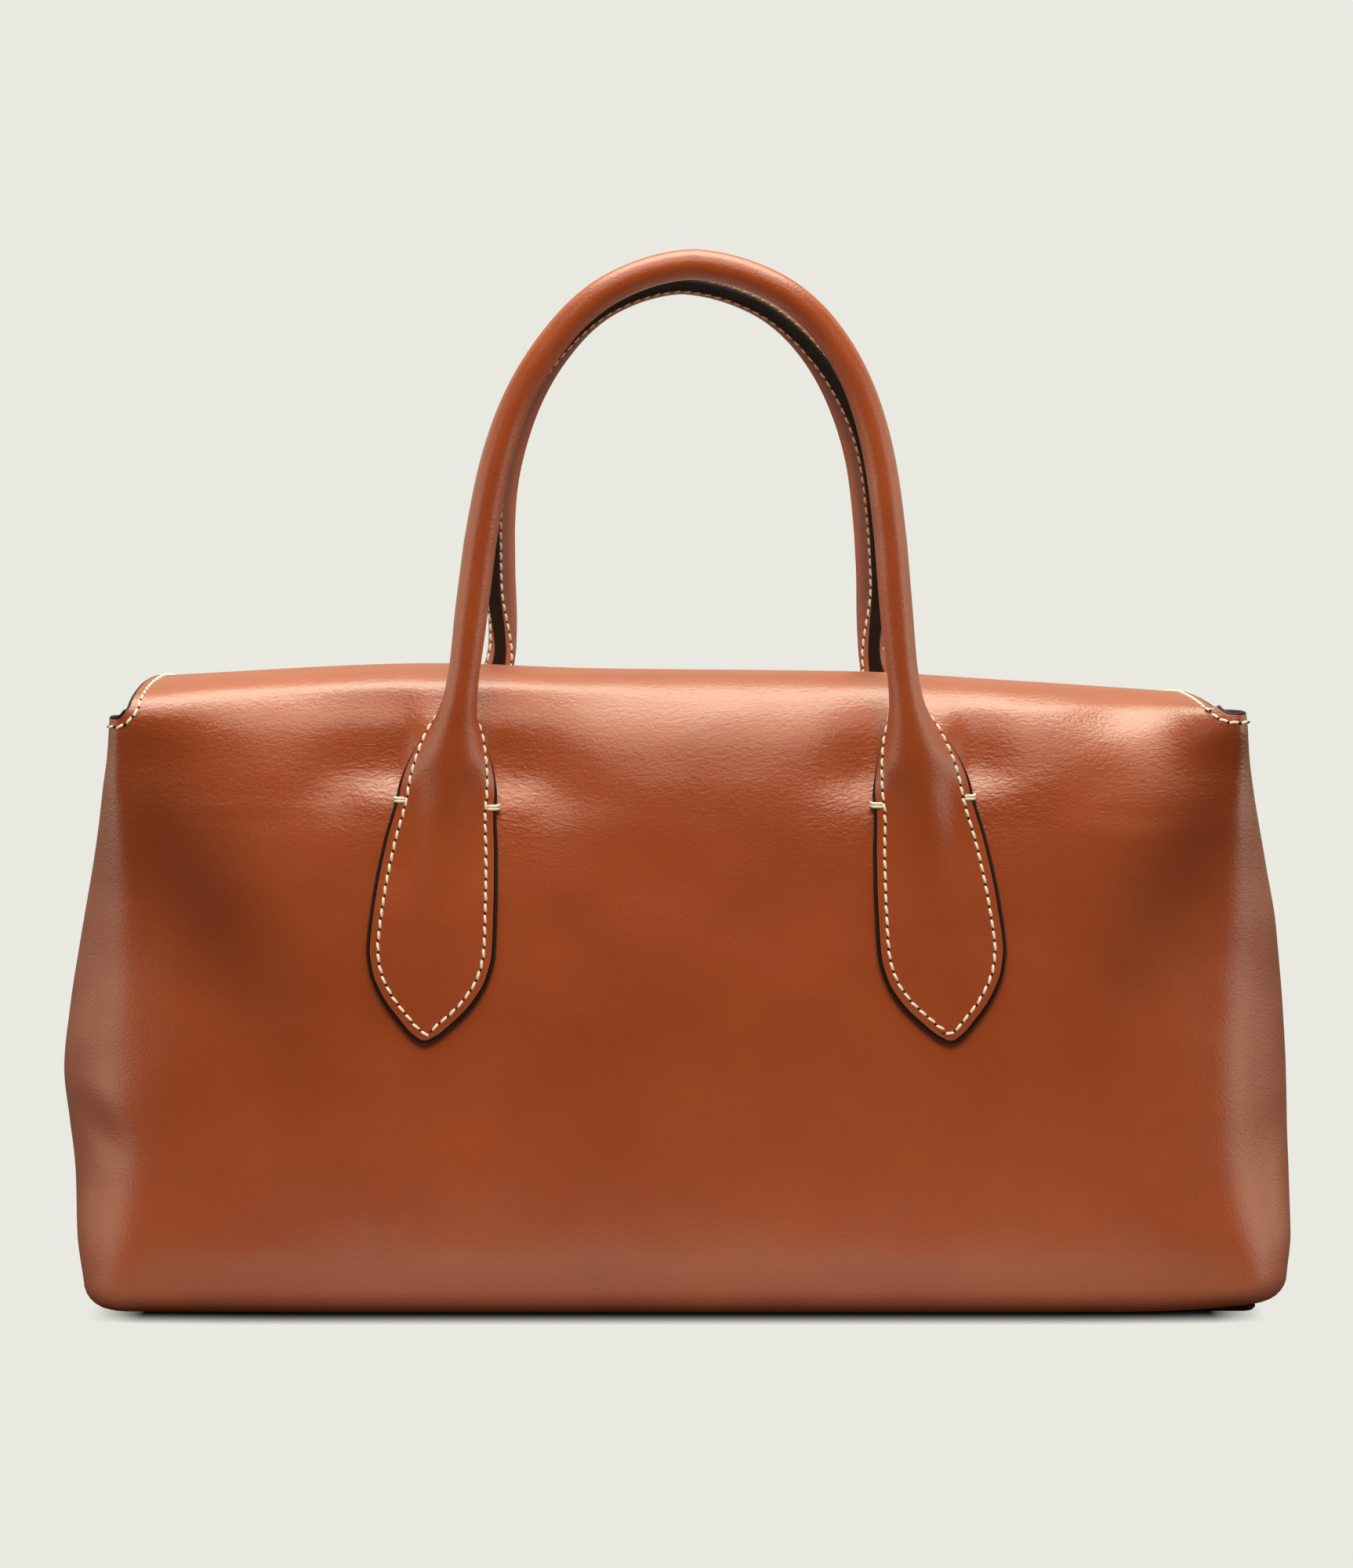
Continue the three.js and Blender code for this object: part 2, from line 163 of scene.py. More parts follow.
# Soft turn of the walls towards their ends: most between the hem and the ears
CHEEK_START = 122
CHEEK_WIDTH = 64
CHEEK_DEPTH = 7.0
CHEEK_FADE_Z = (188, 105)
CHEEK_HEM_Z = (0, 55)
CHEEK_AT_HEM = 0.3

# Hollows pulled in beside the tabs by their bar tacks, sharp below and long above
PUCKERS = table(
    "x z left right up down depth",
    (-113, 174, 15, 9, 21, 8, 2.2),
    (-93, 181, 20, 8, 19, 6.5, 6.0),
    (-60, 180, 8, 17, 19, 7.5, 6.6),
    (-41, 173, 9, 15, 21, 8, 2.2),
    (65, 180, 16, 8, 19, 7.5, 5.8),
    (98, 182, 8, 13, 19, 6.5, 5.2),
)

# Folds of the front, by place, length, width, turn in degrees and depth
FOLDS = table(
    "x z long wide turn depth",
    (148, 190, 32, 8, 20, -0.8),
    (-192, 60, 12, 4.5, -51, 1.0),
    (-188.5, 71, 10, 4.5, -56, -0.7),
)

# Painted shade in bands below the ears, by place, length, width, turn in degrees and strength
PAINTED_SHADE_BANDS = table(
    "x z long wide turn depth",
    (-163, 150, 64, 20, -59, 0.7),
    (172, 160, 58, 19, 60, 0.7),
)

# Fine crackle of the leather: strong round the bar tacks, faint all over the upper part
CRACKLE_WIDE = 32
CRACKLE_TALL = 20
CRACKLE_ABOVE = 4
CRACKLE_TOP = 0.4
CRACKLE_TOP_Z = (140, 185)

# Paint on the cut edges
EDGE_BULGE = 1.0
TAB_EDGE_BULGE = 1.1
PAINT_OVERLAP = 1.05

# Sizes of the handles
HANDLE_Y = 79.4
ROLL_RADIUS = 4.85
PLUMP = 1.1
PLUMP_Z = (230, 330)
TAB_THICKNESS = 2.6
LIFT_START_Z = 130
LIFT_END_Z = 190
RIDGE_FOOT_Z = 120
RIDGE_HALF = 11
NECK_Z = 204
ROLLED_Z = (205, 236)
CLOSED_Z = (190, 206)
ROUND_Z = 206
SEAM_HALF = 2.3
SEAM_DEPTH = 7.2
SEAM_LEAN = (2.4, -1.7)
SEAM_LEAN_Z = (285, 347)
SEAM_STRIP_FOOT_Z = 199
RIDGE_GONE = 66
STRIP_DOME = 0.45
STRIP_FLATNESS = 4
SMALLEST_BEND = 0.001
# Shares of a roll's width over which its seam side turns rougher and darker with painted shade
DULL_AND_SHADE_SHARES = (0.5, 0.85)

# Axis, flat half-width and bend at the edge in degrees of each handle leg, from the tab's tip to the arch
LEG = table(
    "z left right half bend",
    (93, -83.4, 90.4, 1.0, 0),
    (95, -83.3, 90.2, 4.2, 0),
    (98, -83.1, 89.9, 7.4, 0),
    (106, -82.5, 89.1, 14.4, 0),
    (114.5, -81.9, 88.2, 18.8, 0),
    (123, -81.3, 87.3, 20.3, 0),
    (139, -80.0, 85.6, 19.6, 0),
    (156, -78.2, 83.5, 18.0, 4),
    (173, -76.0, 81.0, 15.9, 14),
    (181, -75.0, 79.7, 15.9, 42),
    (189, -74.0, 78.2, 15.9, 76),
    (194, -73.3, 77.3, 16.0, 100),
    (199, -72.6, 76.3, 16.0, 130),
    (204, -71.7, 75.5, 15.2, 150),
    (208, -71.1, 74.9, 14.5, 154),
    (219, -69.4, 73.4, 13.8, 157),
    (236, -67.3, 71.7, 13.6, 157),
    (256, -64.7, 70.0, 13.6, 157),
)
ARCH = table(
    "x z",
    (-60.0, 280.4),
    (-51.9, 304.0),
    (-39.8, 323.3),
    (-23.4, 338.6),
    (4.8, 347.5),
    (34.6, 338.5),
    (50.3, 323.5),
    (60.6, 304.2),
    (66.8, 280.4),
)

# How far the back handle's legs stand to the right of the front handle's, by height
BACK_LEAN = table(
    "z left right",
    (165, 0.0, 0.0),
    (190, 3.2, -1.2),
    (212, 6.0, -2.6),
    (219, 5.4, -2.2),
    (245, 1.5, -0.2),
    (277, -2.0, 0.2),
    (310, -2.6, -1.4),
    (347, -3.4, -3.4),
)

# Stitching, with the rise and sink as shares of the thread, and the slant and sway in radians
STITCH_PITCH = 3.74
STITCH_LENGTH = 2.5
STITCH_INSET = 2.8
SEAM_STITCH_INSET = 0.5
STITCH_RISE = 0.75
STITCH_SINK = 0.35
STITCH_SLANT = 0.12
STITCH_SWAY = 0.06
PANEL_SEED = 3
HANDLE_SEED = 7
THREAD = 0.95
# Heights over which the thread turns browner: painted shade on the stitches of the handles' rolls
THREAD_SHADE_Z = (212, 262)
HOLE_DIAMETER = 0.7
HOLE_RISE = -0.1

# Bar tacks of the tabs, by place on the front
BAR_TACKS = ((-91.0, 172.0), (-60.6, 169.4), (65.7, 170.2), (97.3, 172.8))

# Way of a bar tack's thread: aside from the tab's edge, and in from the tab's face or from the wall
TACK_ON_TAB = ((-2.0, 0.6), (-1.8, -0.25), (0.6, -0.35), (1.375, 0.7))
TACK_ON_WALL = ((1.6, -0.3), (1.9, 0.6))
TACK_OUTSIDE = 1.7
TACK_THREAD = 1.1 * THREAD
TACK_APART = 0.52 * THREAD

# Mesh steps
FRONT_COLUMNS = 84
CORNER_COLUMNS = 12
END_COLUMNS = 34
LIP_ROWS = 3
TURN_ROWS = 7
CLIMB_ROWS = 84
FLAP_ROWS = 75
TAB_TIP_STEP = 0.8
LEG_STEP = 2.0
ARCH_STATIONS = 110
FACE_POINTS = 49
BACK_POINTS = 13
BEAD_POINTS = 12
TACK_POINTS = 14
THREAD_STEPS = 5
THREAD_SIDES = 8
CURVE_STEPS = 40
TIP_TOP_Z = 100
SHARE_STEP = 0.02
SEAM_CROWDING = 1.5
EDGE_CROWDING = 0.55
WELD = 0.002

# Edges that turn more than this, in degrees, stay sharp
PANEL_SHARP = 42
HANDLE_SHARP = 50
EDGE_SHARP = 60

# Stretches of a wall, from its middle to its seam
FRONT, CORNER, END = 0, 1, 2


def ease(low, high, at):
    """Share of the way from low to high, eased at both ends."""
    t = np.clip((np.asarray(at, float) - low) / (high - low), 0, 1)
    return t * t * (3 - 2 * t)


def lerp(start, finish, share):
    """A value at a share of the way from start to finish."""
    return start + (finish - start) * share


def unit(vectors):
    """The same directions, each of length one."""
    return vectors / np.linalg.norm(vectors, axis=-1, keepdims=True)


def slopes(at, value):
    """Slopes of a curve through a table's rows, zero at a turning point so that it never overshoots."""
    secant = np.diff(value) / np.diff(at)
    before, after = secant[:-1], secant[1:]
    total = np.where(before + after == 0, 1, before + after)
    inner = np.where(before * after > 0, 2 * before * after / total, 0)
    return np.concatenate([secant[:1], inner, secant[-1:]])


def along(rows, key, at, column):
    """A table's column read at any value of its key, along a smooth curve through the rows."""
    keys, values = rows[key], rows[column]
    at = np.clip(at, keys[0], keys[-1])
    row = np.clip(np.searchsorted(keys, at, side="right") - 1, 0, len(keys) - 2)
    span = keys[row + 1] - keys[row]
    t = (at - keys[row]) / span
    slope = slopes(keys, values)
    start = (values[row] * (1 + 2 * t) + slope[row] * span * t) * (1 - t) ** 2
    finish = (values[row + 1] * (3 - 2 * t) + slope[row + 1] * span * (t - 1)) * t**2
    return start + finish


# Shape of the panels


def swell(rows, x, z):
    """How far a table of hollows pushes the leather in at a place."""
    depth = np.zeros(np.broadcast(x, z).shape)
    for i in range(len(rows["x"])):
        dx, dz = x - rows["x"][i], z - rows["z"][i]
        wide = np.where(dx < 0, rows["left"][i], rows["right"][i])
        tall = np.where(dz < 0, rows["down"][i], rows["up"][i])
        depth = depth + rows["depth"][i] * np.exp(-((dx / wide) ** 2) - (dz / tall) ** 2)
    return depth


def fold_depth(rows, x, z):
    """How far a table of turned folds pushes the leather in at a place."""
    depth = np.zeros(np.broadcast(x, z).shape)
    for i in range(len(rows["x"])):
        dx, dz = x - rows["x"][i], z - rows["z"][i]
        turn = math.radians(rows["turn"][i])
        far = (dx * math.cos(turn) + dz * math.sin(turn)) / rows["long"][i]
        off = (dz * math.cos(turn) - dx * math.sin(turn)) / rows["wide"][i]
        depth = depth + rows["depth"][i] * np.exp(-(far**2) - off**2)
    return depth


def cheek(x, z):
    """How far the walls turn back towards their ends."""
    past = np.maximum(np.abs(x) - CHEEK_START, 0) / CHEEK_WIDTH
    tall = ease(*CHEEK_FADE_Z, z) * lerp(CHEEK_AT_HEM, 1, ease(*CHEEK_HEM_Z, z))
    return CHEEK_DEPTH * past**2 * tall


def roll_back(x, z):
    """How far the front is pushed in where its roll sits lower, and out where it sits higher."""
    lower = along(ROLL_LOWER, "x", x, "lower")
    return along(ROLL, "z", z, "depth") - along(ROLL, "z", z + lower, "depth")


def relief(x, z, back):
    """How far the leather of a panel is pushed in at a place."""
    depth = swell(SWELLS, x, z) + swell(PUCKERS, x, z) + cheek(x, z)
    return depth if back else depth + fold_depth(FOLDS, x, z) + roll_back(x, z)


def panel_columns():
    """The columns of a wall panel, from its left seam across the front to its right seam."""
    counts = (FRONT_COLUMNS, CORNER_COLUMNS, END_COLUMNS)
    shares = [np.arange(1, n + 1) / n for n in counts]
    shares[END] = 1 - (1 - shares[END]) ** SEAM_CROWDING
    stretch, share = np.repeat((FRONT, CORNER, END), counts), np.concatenate(shares)
    return SimpleNamespace(
        stretch=np.concatenate([stretch[::-1], [FRONT], stretch]),
        share=np.concatenate([share[::-1], [0], share]),
        side=np.concatenate([-np.ones(len(share)), [1], np.ones(len(share))]),
    )


def outline(z, inset, side):
    """Sizes of the walls' outline in plan at a height, on one side of the bag."""

    def size(suffix):
        left = along(SECTIONS, "z", z, "left" + suffix)
        return np.where(side < 0, left, along(SECTIONS, "z", z, "right" + suffix)) - inset

    wide, seam = size(""), size("_seam")
    deep = along(SECTIONS, "z", z, "depth") - inset
    radius = np.maximum(along(SECTIONS, "z", z, "corner") - inset, SMALLEST_CORNER)
    length = np.hypot(seam - wide, deep)
    end_x, end_y = (seam - wide) / length, deep / length
    turn = np.arccos(end_x)
    cut = radius * np.tan(turn / 2)
    foot = np.where(side < 0, FLAP_FOOT_LEFT, FLAP_FOOT_RIGHT)
    return SimpleNamespace(
        wide=wide, seam=seam, deep=deep, radius=radius, end_x=end_x, end_y=end_y,
        turn=turn, cut=cut, foot=foot, front=wide - cut - foot,
    )


def plan_points(z, inset, columns):
    """Plan of a wall: straight across the front, round the corner, along the end, turned in at its seam."""
    o = outline(z, inset, columns.side)
    share = columns.share
    way = (o.foot + o.radius * o.turn) * share
    angle = np.maximum(way - o.foot, 0) / o.radius
    corner_x = o.front + np.minimum(way, o.foot) + o.radius * np.sin(angle)
    corner_y = -o.deep + o.radius * (1 - np.cos(angle))
    into_seam = np.clip((share - 1 + SEAM_TURN_SHARE) / SEAM_TURN_SHARE, 0, 1)
    belly = END_BELLY * np.sin(np.pi * share)
    turned_in = SEAM_TURN * (1 - np.sqrt(1 - into_seam**2))
    end_x = lerp(o.wide + o.end_x * o.cut, o.seam, share) + o.end_y * (belly - turned_in)
    end_y = lerp(-o.deep + o.end_y * o.cut, 0, share) - o.end_x * belly
    on = [columns.stretch + 0 * z == CORNER, columns.stretch + 0 * z == END]
    x = np.select(on, [corner_x, end_x], o.front * share)
    y = np.select(on, [corner_y, end_y], -o.deep + 0 * share)
    return x * columns.side, np.minimum(y, 0), o


def rim_heights(columns, back):
    """Height of the top edge at each column. The back panel's edge dips under the flap."""
    across = np.where(columns.stretch == FRONT, columns.side * columns.share, columns.side)
    level = lerp(RIM_LEFT, RIM_RIGHT, ease(-1, 1, across))
    inward = np.where(columns.stretch == END, ease(0, 1, columns.share), 0)
    if back:
        return level - lerp(BACK_RIM_DIP, SEAM_DIP, inward)
    on = [columns.stretch == CORNER, columns.stretch == END]
    ear = np.select(on, [ease(0, EAR_STEP, columns.share), 1], 0)
    return level - lerp(EAR_DIP * ear, SEAM_DIP, inward)


def wall_levels():
    """Height, inset and climb of each row of a wall: hem lip, turn under the bag, then up to the rim."""
    bottom = HEM_BOTTOM
    lip = [(bottom, HEM_RADIUS + HEM_LIP * (1 - i / LIP_ROWS), 0) for i in range(LIP_ROWS)]
    quarter = [math.pi / 2 * i / TURN_ROWS for i in range(TURN_ROWS)]
    turn = [(bottom + HEM_RADIUS * (1 - math.cos(a)), HEM_RADIUS * (1 - math.sin(a)), 0) for a in quarter]
    climb = [(bottom + HEM_RADIUS, 0, i / CLIMB_ROWS) for i in range(CLIMB_ROWS + 1)]
    return np.array(lip + turn + climb)[:, :, None].transpose(1, 0, 2)


def wall_points(columns, back):
    """Points of a wall's outer face, row by row from the hem lip to the rim."""
    level, inset, climb = wall_levels()
    z = lerp(level, rim_heights(columns, back), climb)
    x, y, o = plan_points(z, inset, columns)
    deep = o.deep + inset
    reach = np.hypot(np.abs(x) - o.wide - inset, y + deep) / CORNER_LIFT_REACH
    lift = np.where(columns.side < 0, CORNER_LIFT_LEFT, CORNER_LIFT_RIGHT) * np.exp(-(reach**2))
    facing = ease(0, 1, -y / deep)
    y = y + relief(x, z, back) * facing
    return np.stack([x, y, z + lift * (1 - ease(0, CORNER_LIFT_TOP, z))], -1)


def flap_points(columns):
    """Points of the flap's outer face, row by row from the rim over the top to its free edge."""
    rim = rim_heights(columns, False)
    rim_half = outline(rim, 0, columns.side).front
    past = np.clip(1 - (1 - columns.share) * rim_half / FLAP_END_CORNER, 0, 1)
    lowest = FLAP["drop"][-1] - FLAP_END_CORNER * (1 - np.sqrt(1 - past**2))
    length = np.interp(lowest, FLAP["drop"], FLAP["run"])
    run = length * np.arange(1, FLAP_ROWS + 1)[:, None] / FLAP_ROWS
    x = columns.side * columns.share * (rim_half - along(FLAP, "run", run, "narrower"))
    rise = along(FLAP, "run", run, "rise") * (along(CREST, "x", x, "z") - rim)
    z = rim + rise - along(FLAP, "run", run, "drop")
    y = along(FLAP, "run", run, "y") + 0 * x
    start = -along(SECTIONS, "z", rim, "depth") - FLAP["y"][0]
    y = y + (relief(x, z, False) + start) * (1 - ease(FLAP["y"][0], FLAP_CREST_Y, y))
    return np.stack([x, y, z], -1)


def soften_scoops(points, corners):
    """Rounds the inner corners where the flap grows out of the rim."""
    moved = points.copy()
    for corner in corners:
        near = np.clip(1 - np.linalg.norm(points - corner, axis=-1) / SCOOP_ROUND, 0, 1) ** 2
        push = SCOOP_ROUND * (1 - math.sqrt(0.5)) * near
        moved[:, 0] += np.sign(corner[0]) * push
        moved[:, 2] += push
    return moved


def grid_quads(grid):
    """Faces between neighbouring rows and columns of point numbers, facing out of the bag."""
    return np.stack([grid[:-1, :-1], grid[:-1, 1:], grid[1:, 1:], grid[1:, :-1]], -1).reshape(-1, 4)


def point_normals(points, quads):
    """Directions out of the leather at each point, from the faces round it."""
    a, b, c, d = points[quads].transpose(1, 0, 2)
    across = np.cross(c - a, d - b)
    total = np.zeros_like(points)
    for corner in range(4):
        np.add.at(total, quads[:, corner], across)
    return unit(total)


def open_edges(quads):
    """Edges that only one face has, in that face's direction."""
    edges = np.concatenate([quads[:, [k, (k + 1) % 4]] for k in range(4)]).tolist()
    known = set(map(tuple, edges))
    return np.array([e for e in edges if (e[1], e[0]) not in known])


def with_flap(columns, points, quads, rim):
    """The front wall with its flap grown out of the rim between the corners."""
    over = np.flatnonzero(columns.stretch == FRONT)
    front = SimpleNamespace(
        side=columns.side[over], share=columns.share[over], stretch=columns.stretch[over])
    flap = flap_points(front)
    new = len(points) + np.arange(flap.shape[0] * len(over)).reshape(flap.shape[:2])
    grid = np.vstack([rim[over], new])
    points = np.vstack([points, flap.reshape(-1, 3)])
    quads = np.vstack([quads, grid_quads(grid)])
    points = soften_scoops(points, points[grid[0, [0, -1]]])
    left, right = rim[: over[0]], rim[over[-1] + 1 :]
    rim = np.concatenate([left, grid[:, 0], grid[-1, 1:-1], grid[::-1, -1], right])
    return points, quads, rim


def panel_sheet(back):
    """A panel as outer points, inner points and faces, with the order of the points along its top edge."""
    columns = panel_columns()
    wall = wall_points(columns, back)
    numbers = np.arange(wall.shape[0] * wall.shape[1]).reshape(wall.shape[:2])
    points, quads, rim = wall.reshape(-1, 3), grid_quads(numbers), numbers[-1]
    if back:
        points = points * (1, -1, 1)
        quads = quads[:, ::-1]
    else:
        points, quads, rim = with_flap(columns, points, quads, rim)
    normals = point_normals(points, quads)
    inner = points - WALL * normals
    seam = numbers[:, [0, -1]].ravel()
    hold = np.maximum if back else np.minimum
    inner[seam, 1] = hold(inner[seam, 1], points[seam, 1])
    return SimpleNamespace(outer=points, inner=inner, normals=normals, quads=quads, rim=rim)


# Shape of the handles


def way_along(line):
    """How far along a line each of its points lies."""
    return np.concatenate([[0], np.cumsum(np.linalg.norm(np.diff(line, axis=0), axis=1))])


def smooth_path(places, count):
    """Evenly spaced points on a centripetal Catmull-Rom curve through the places."""
    padded = np.vstack([2 * places[0] - places[1], places, 2 * places[-1] - places[-2]])
    knots = np.concatenate([[0], np.cumsum(np.sqrt(np.linalg.norm(np.diff(padded, axis=0), axis=1)))])
    line = []
    for i in range(1, len(padded) - 2):
        last = i == len(padded) - 3
        t = np.linspace(knots[i], knots[i + 1], CURVE_STEPS, endpoint=last)[:, None]
        level = [padded[i + k] for k in range(-1, 3)]
        for depth in (1, 2, 3):
            level = [
                (knots[i + k + depth] - t) / (knots[i + k + depth] - knots[i + k]) * level[j]
                + (t - knots[i + k]) / (knots[i + k + depth] - knots[i + k]) * level[j + 1]
                for j, k in enumerate(range(-1, 3 - depth))
            ]
        line.append(level[0])
    return evenly(np.vstack(line), count)


def evenly(line, count):
    """The same line with that many points, evenly spaced along it."""
    way = way_along(line)
    at = np.linspace(0, way[-1], count)
    return np.stack([np.interp(at, way, line[:, k]) for k in range(line.shape[1])], -1)


def handle_stations():
    """Places along a handle, from the left tab's tip over the arch to the right tab's tip."""
    tip = np.arange(LEG["z"][0], TIP_TOP_Z, TAB_TIP_STEP)
    z = np.concatenate([tip, np.arange(TIP_TOP_Z, LEG["z"][-1], LEG_STEP)])
    top = (LEG["z"][-1],)
    arch = np.stack([
        np.concatenate([LEG["left"][-1:], ARCH["x"], LEG["right"][-1:]]),
        np.concatenate([top, ARCH["z"], top]),
    ], -1)
    over = smooth_path(arch, ARCH_STATIONS)
    heights = np.concatenate([z, over[:, 1], z[::-1]])
    middle = np.concatenate([along(LEG, "z", z, "left"), over[:, 0], along(LEG, "z", z[::-1], "right")])
    place = np.stack([middle, heights], -1)
    on_leg = np.minimum(heights, LEG["z"][-1])
    return SimpleNamespace(
        x=middle,
        z=heights,
        legs=len(z),
        way=way_along(place),
        tangent=unit(np.gradient(place, axis=0)),
        half=along(LEG, "z", on_leg, "half"),
        bend=np.radians(along(LEG, "z", on_leg, "bend")),
        rolled=ease(*ROLLED_Z, on_leg),
    )


def roll_sizes():
    """Lengths of the roll's round and straight stretches, from the middle of its front to its seam."""
    reach = math.hypot(SEAM_HALF, SEAM_DEPTH)
    turn = math.pi - math.atan2(SEAM_HALF, SEAM_DEPTH) - math.acos(ROLL_RADIUS / reach)
    return ROLL_RADIUS * turn, math.sqrt(reach**2 - ROLL_RADIUS**2)


def roll_section(share):
    """The finished face of the roll at shares from -1 to 1 of its width: a drop that ends at its seam."""
    arc, line = roll_sizes()
    way = np.abs(share) * (arc + line)
    angle = np.minimum(way, arc) / ROLL_RADIUS
    on_line = np.clip((way - arc) / line, 0, 1)
    across = lerp(ROLL_RADIUS * np.sin(angle), SEAM_HALF, on_line)
    depth = lerp(ROLL_RADIUS * np.cos(angle), -SEAM_DEPTH, on_line)
    return np.sign(share) * across, depth


def face_shares():
    """Places across a handle's face, closer together towards its two edges."""
    t = np.linspace(-1, 1, FACE_POINTS)
    return lerp(t, np.sin(t * math.pi / 2), EDGE_CROWDING)


def bent_section(half, bend, share, thickness):
    """A strip bent evenly, as places across and depths behind its middle, at a depth in its thickness."""
    bend = np.maximum(bend, SMALLEST_BEND)
    radius = half / bend
    angle = bend * share
    return (radius - thickness) * np.sin(angle), radius - (radius - thickness) * np.cos(angle)


def handle_points(stations, share, back_face):
    """Points of a handle at shares of its width, on its finished face or on the face behind it."""
    half, bend, z0 = stations.half[:, None], stations.bend[:, None], stations.z[:, None]
    rolled, edge = stations.rolled[:, None], TAB_THICKNESS / 2
    height = (ROLL_RADIUS - edge) * ease(RIDGE_FOOT_Z, ROUND_Z, z0)
    across, sunk = bent_section(half, bend, share, TAB_THICKNESS if back_face else 0)
    roll_across, roll_depth = roll_section(share)
    if back_face:
        roll_across, roll_depth = SEAM_HALF * share, -SEAM_DEPTH + 0 * share
        closed = ease(*CLOSED_Z, z0)
        lip_across, lip_sunk = bent_section(half, bend, 1, 0)
        across = lerp(across, lip_across * share, closed)
        sunk = lerp(sunk, lip_sunk, closed)
    lean = lerp(*SEAM_LEAN, ease(*SEAM_LEAN_Z, z0)) * np.clip(-roll_depth / SEAM_DEPTH, 0, 1)
    plump = lerp(PLUMP, 1, ease(*PLUMP_Z, z0))
    across = lerp(across, (roll_across - lean) * plump, rolled)
    x = stations.x[:, None] + across * stations.tangent[:, 1:]
    z = z0 - across * stations.tangent[:, :1]
    wall = -along(SECTIONS, "z", z, "depth") + swell(SWELLS, x, z)
    middle = lerp(wall - GAP - edge, -HANDLE_Y, ease(LIFT_START_Z, LIFT_END_Z, z0))
    ridge = np.cos(math.pi / 2 * np.minimum(np.abs(half * share) / RIDGE_HALF, 1)) ** 2
    raised = height * lerp(ridge, 1, ease(0, math.radians(RIDGE_GONE), bend))
    if back_face:
        raised = height * ease(0, math.radians(RIDGE_GONE), bend)
    front = middle - edge - raised + sunk
    return np.stack([x, lerp(front, -HANDLE_Y - roll_depth, rolled), z], -1)


# Meshes


def weld(mesh):
    """Joins points that fall together, so that no face is left without area."""
    work = bmesh.new()
    work.from_mesh(mesh)
    bmesh.ops.remove_doubles(work, verts=work.verts, dist=WELD * MM)
    work.to_mesh(mesh)
    work.free()


def make_piece(name, points, faces, materials, sharp=PANEL_SHARP, face_materials=None, marks=None):
    """A mesh object from points in millimetres. Marks are numbers of its points for its material to read."""
    mesh = bpy.data.meshes.new(name)
    mesh.from_pydata((np.asarray(points) * MM).tolist(), [], [list(f) for f in faces])
    for material in materials:
        mesh.materials.append(material)
    if face_materials is not None:
        mesh.polygons.foreach_set("material_index", np.asarray(face_materials, np.int32))
    for mark, values in (marks or {}).items():
        attribute = mesh.attributes.new(mark, "FLOAT", "POINT")
        attribute.data.foreach_set("value", np.asarray(values, np.float32))
    weld(mesh)
    mesh.shade_smooth()
    mesh.set_sharp_from_angle(angle=math.radians(sharp))
    mesh.update()
    piece = bpy.data.objects.new(name, mesh)
    bpy.context.scene.collection.objects.link(piece)
    return piece


def skin(rings):
    """Points and faces of a closed skin over a row of rings, with a point in the middle of each end."""
    count, size = rings.shape[:2]
    number = np.arange(count * size).reshape(count, size)
    following = np.roll(number, -1, axis=1)
    sides = np.stack([number[:-1], following[:-1], following[1:], number[1:]], -1).reshape(-1, 4)
    middle = np.full(size, count * size)
    start = np.stack([following[0], number[0], middle], -1)
    finish = np.stack([number[-1], following[-1], middle + 1], -1)
    points = np.vstack([rings.reshape(-1, 3), rings[[0, -1]].mean(axis=1)])
    return points, [*sides.tolist(), *start.tolist(), *finish.tolist()]


def add_skin(points, faces, rings):
    """Adds a skin over rings to the points and faces of one piece."""
    first = sum(map(len, points))
    new_points, new_faces = skin(rings)
    points.append(new_points)
    faces.extend([[first + i for i in face] for face in new_faces])


def finish_piece(piece, slot, *nodes):
    """Rides a piece on the bag and hides the solids that it stands for; the slot it is given is not used."""
    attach(piece, "root")
    if nodes:
        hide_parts(*nodes)
    return piece


# Materials, with the size and depth of each pattern
CLOUD_SIZE = 90
PORE_SIZE = 0.9
PORE_DEPTH = 0.3
WRINKLE_SIZE = 1.2
WRINKLE_DEPTH = 0.42
WRINKLE_STRETCH = 2
WAVE_SIZE = 38
WAVE_DEPTH = 1.8
FUZZ_SIZE = 0.8
FUZZ_DEPTH = 0.3
BRUSH_SIZE = 2.5
BRUSH_DEPTH = 0.2
TWIST_SIZE = 0.35
TWIST_DEPTH = 0.2
STAIN_SIZE = 1.5
PEBBLE_SIZE = 2.2
PEBBLE_DEPTH = 0.4


def tone(hex_colour):
    """An sRGB hex colour as linear numbers."""
    parts = [int(hex_colour[i : i + 2], 16) / 255 for i in (1, 3, 5)]
    return [p / 12.92 if p <= 0.04045 else ((p + 0.055) / 1.055) ** 2.4 for p in parts] + [1.0]


def add(tree, kind, sockets=None, **settings):
    """Adds a node with its settings. A socket given another node's output is linked, else it is set."""
    made = tree.nodes.new(kind)
    for name, value in settings.items():
        setattr(made, name, value)
    for key, value in (sockets or {}).items():
        if isinstance(value, bpy.types.NodeSocket):
            tree.links.new(value, made.inputs[key])
        else:
            made.inputs[key].default_value = value
    return made


def new_material(name):
    """An empty material and its node tree."""
    material = bpy.data.materials.new(name)
    material.use_nodes = True
    material.node_tree.nodes.clear()
    return material, material.node_tree


def per_metre(size_mm):
    """Texture scale that gives features of that size."""
    return 1 / (size_mm * MM)


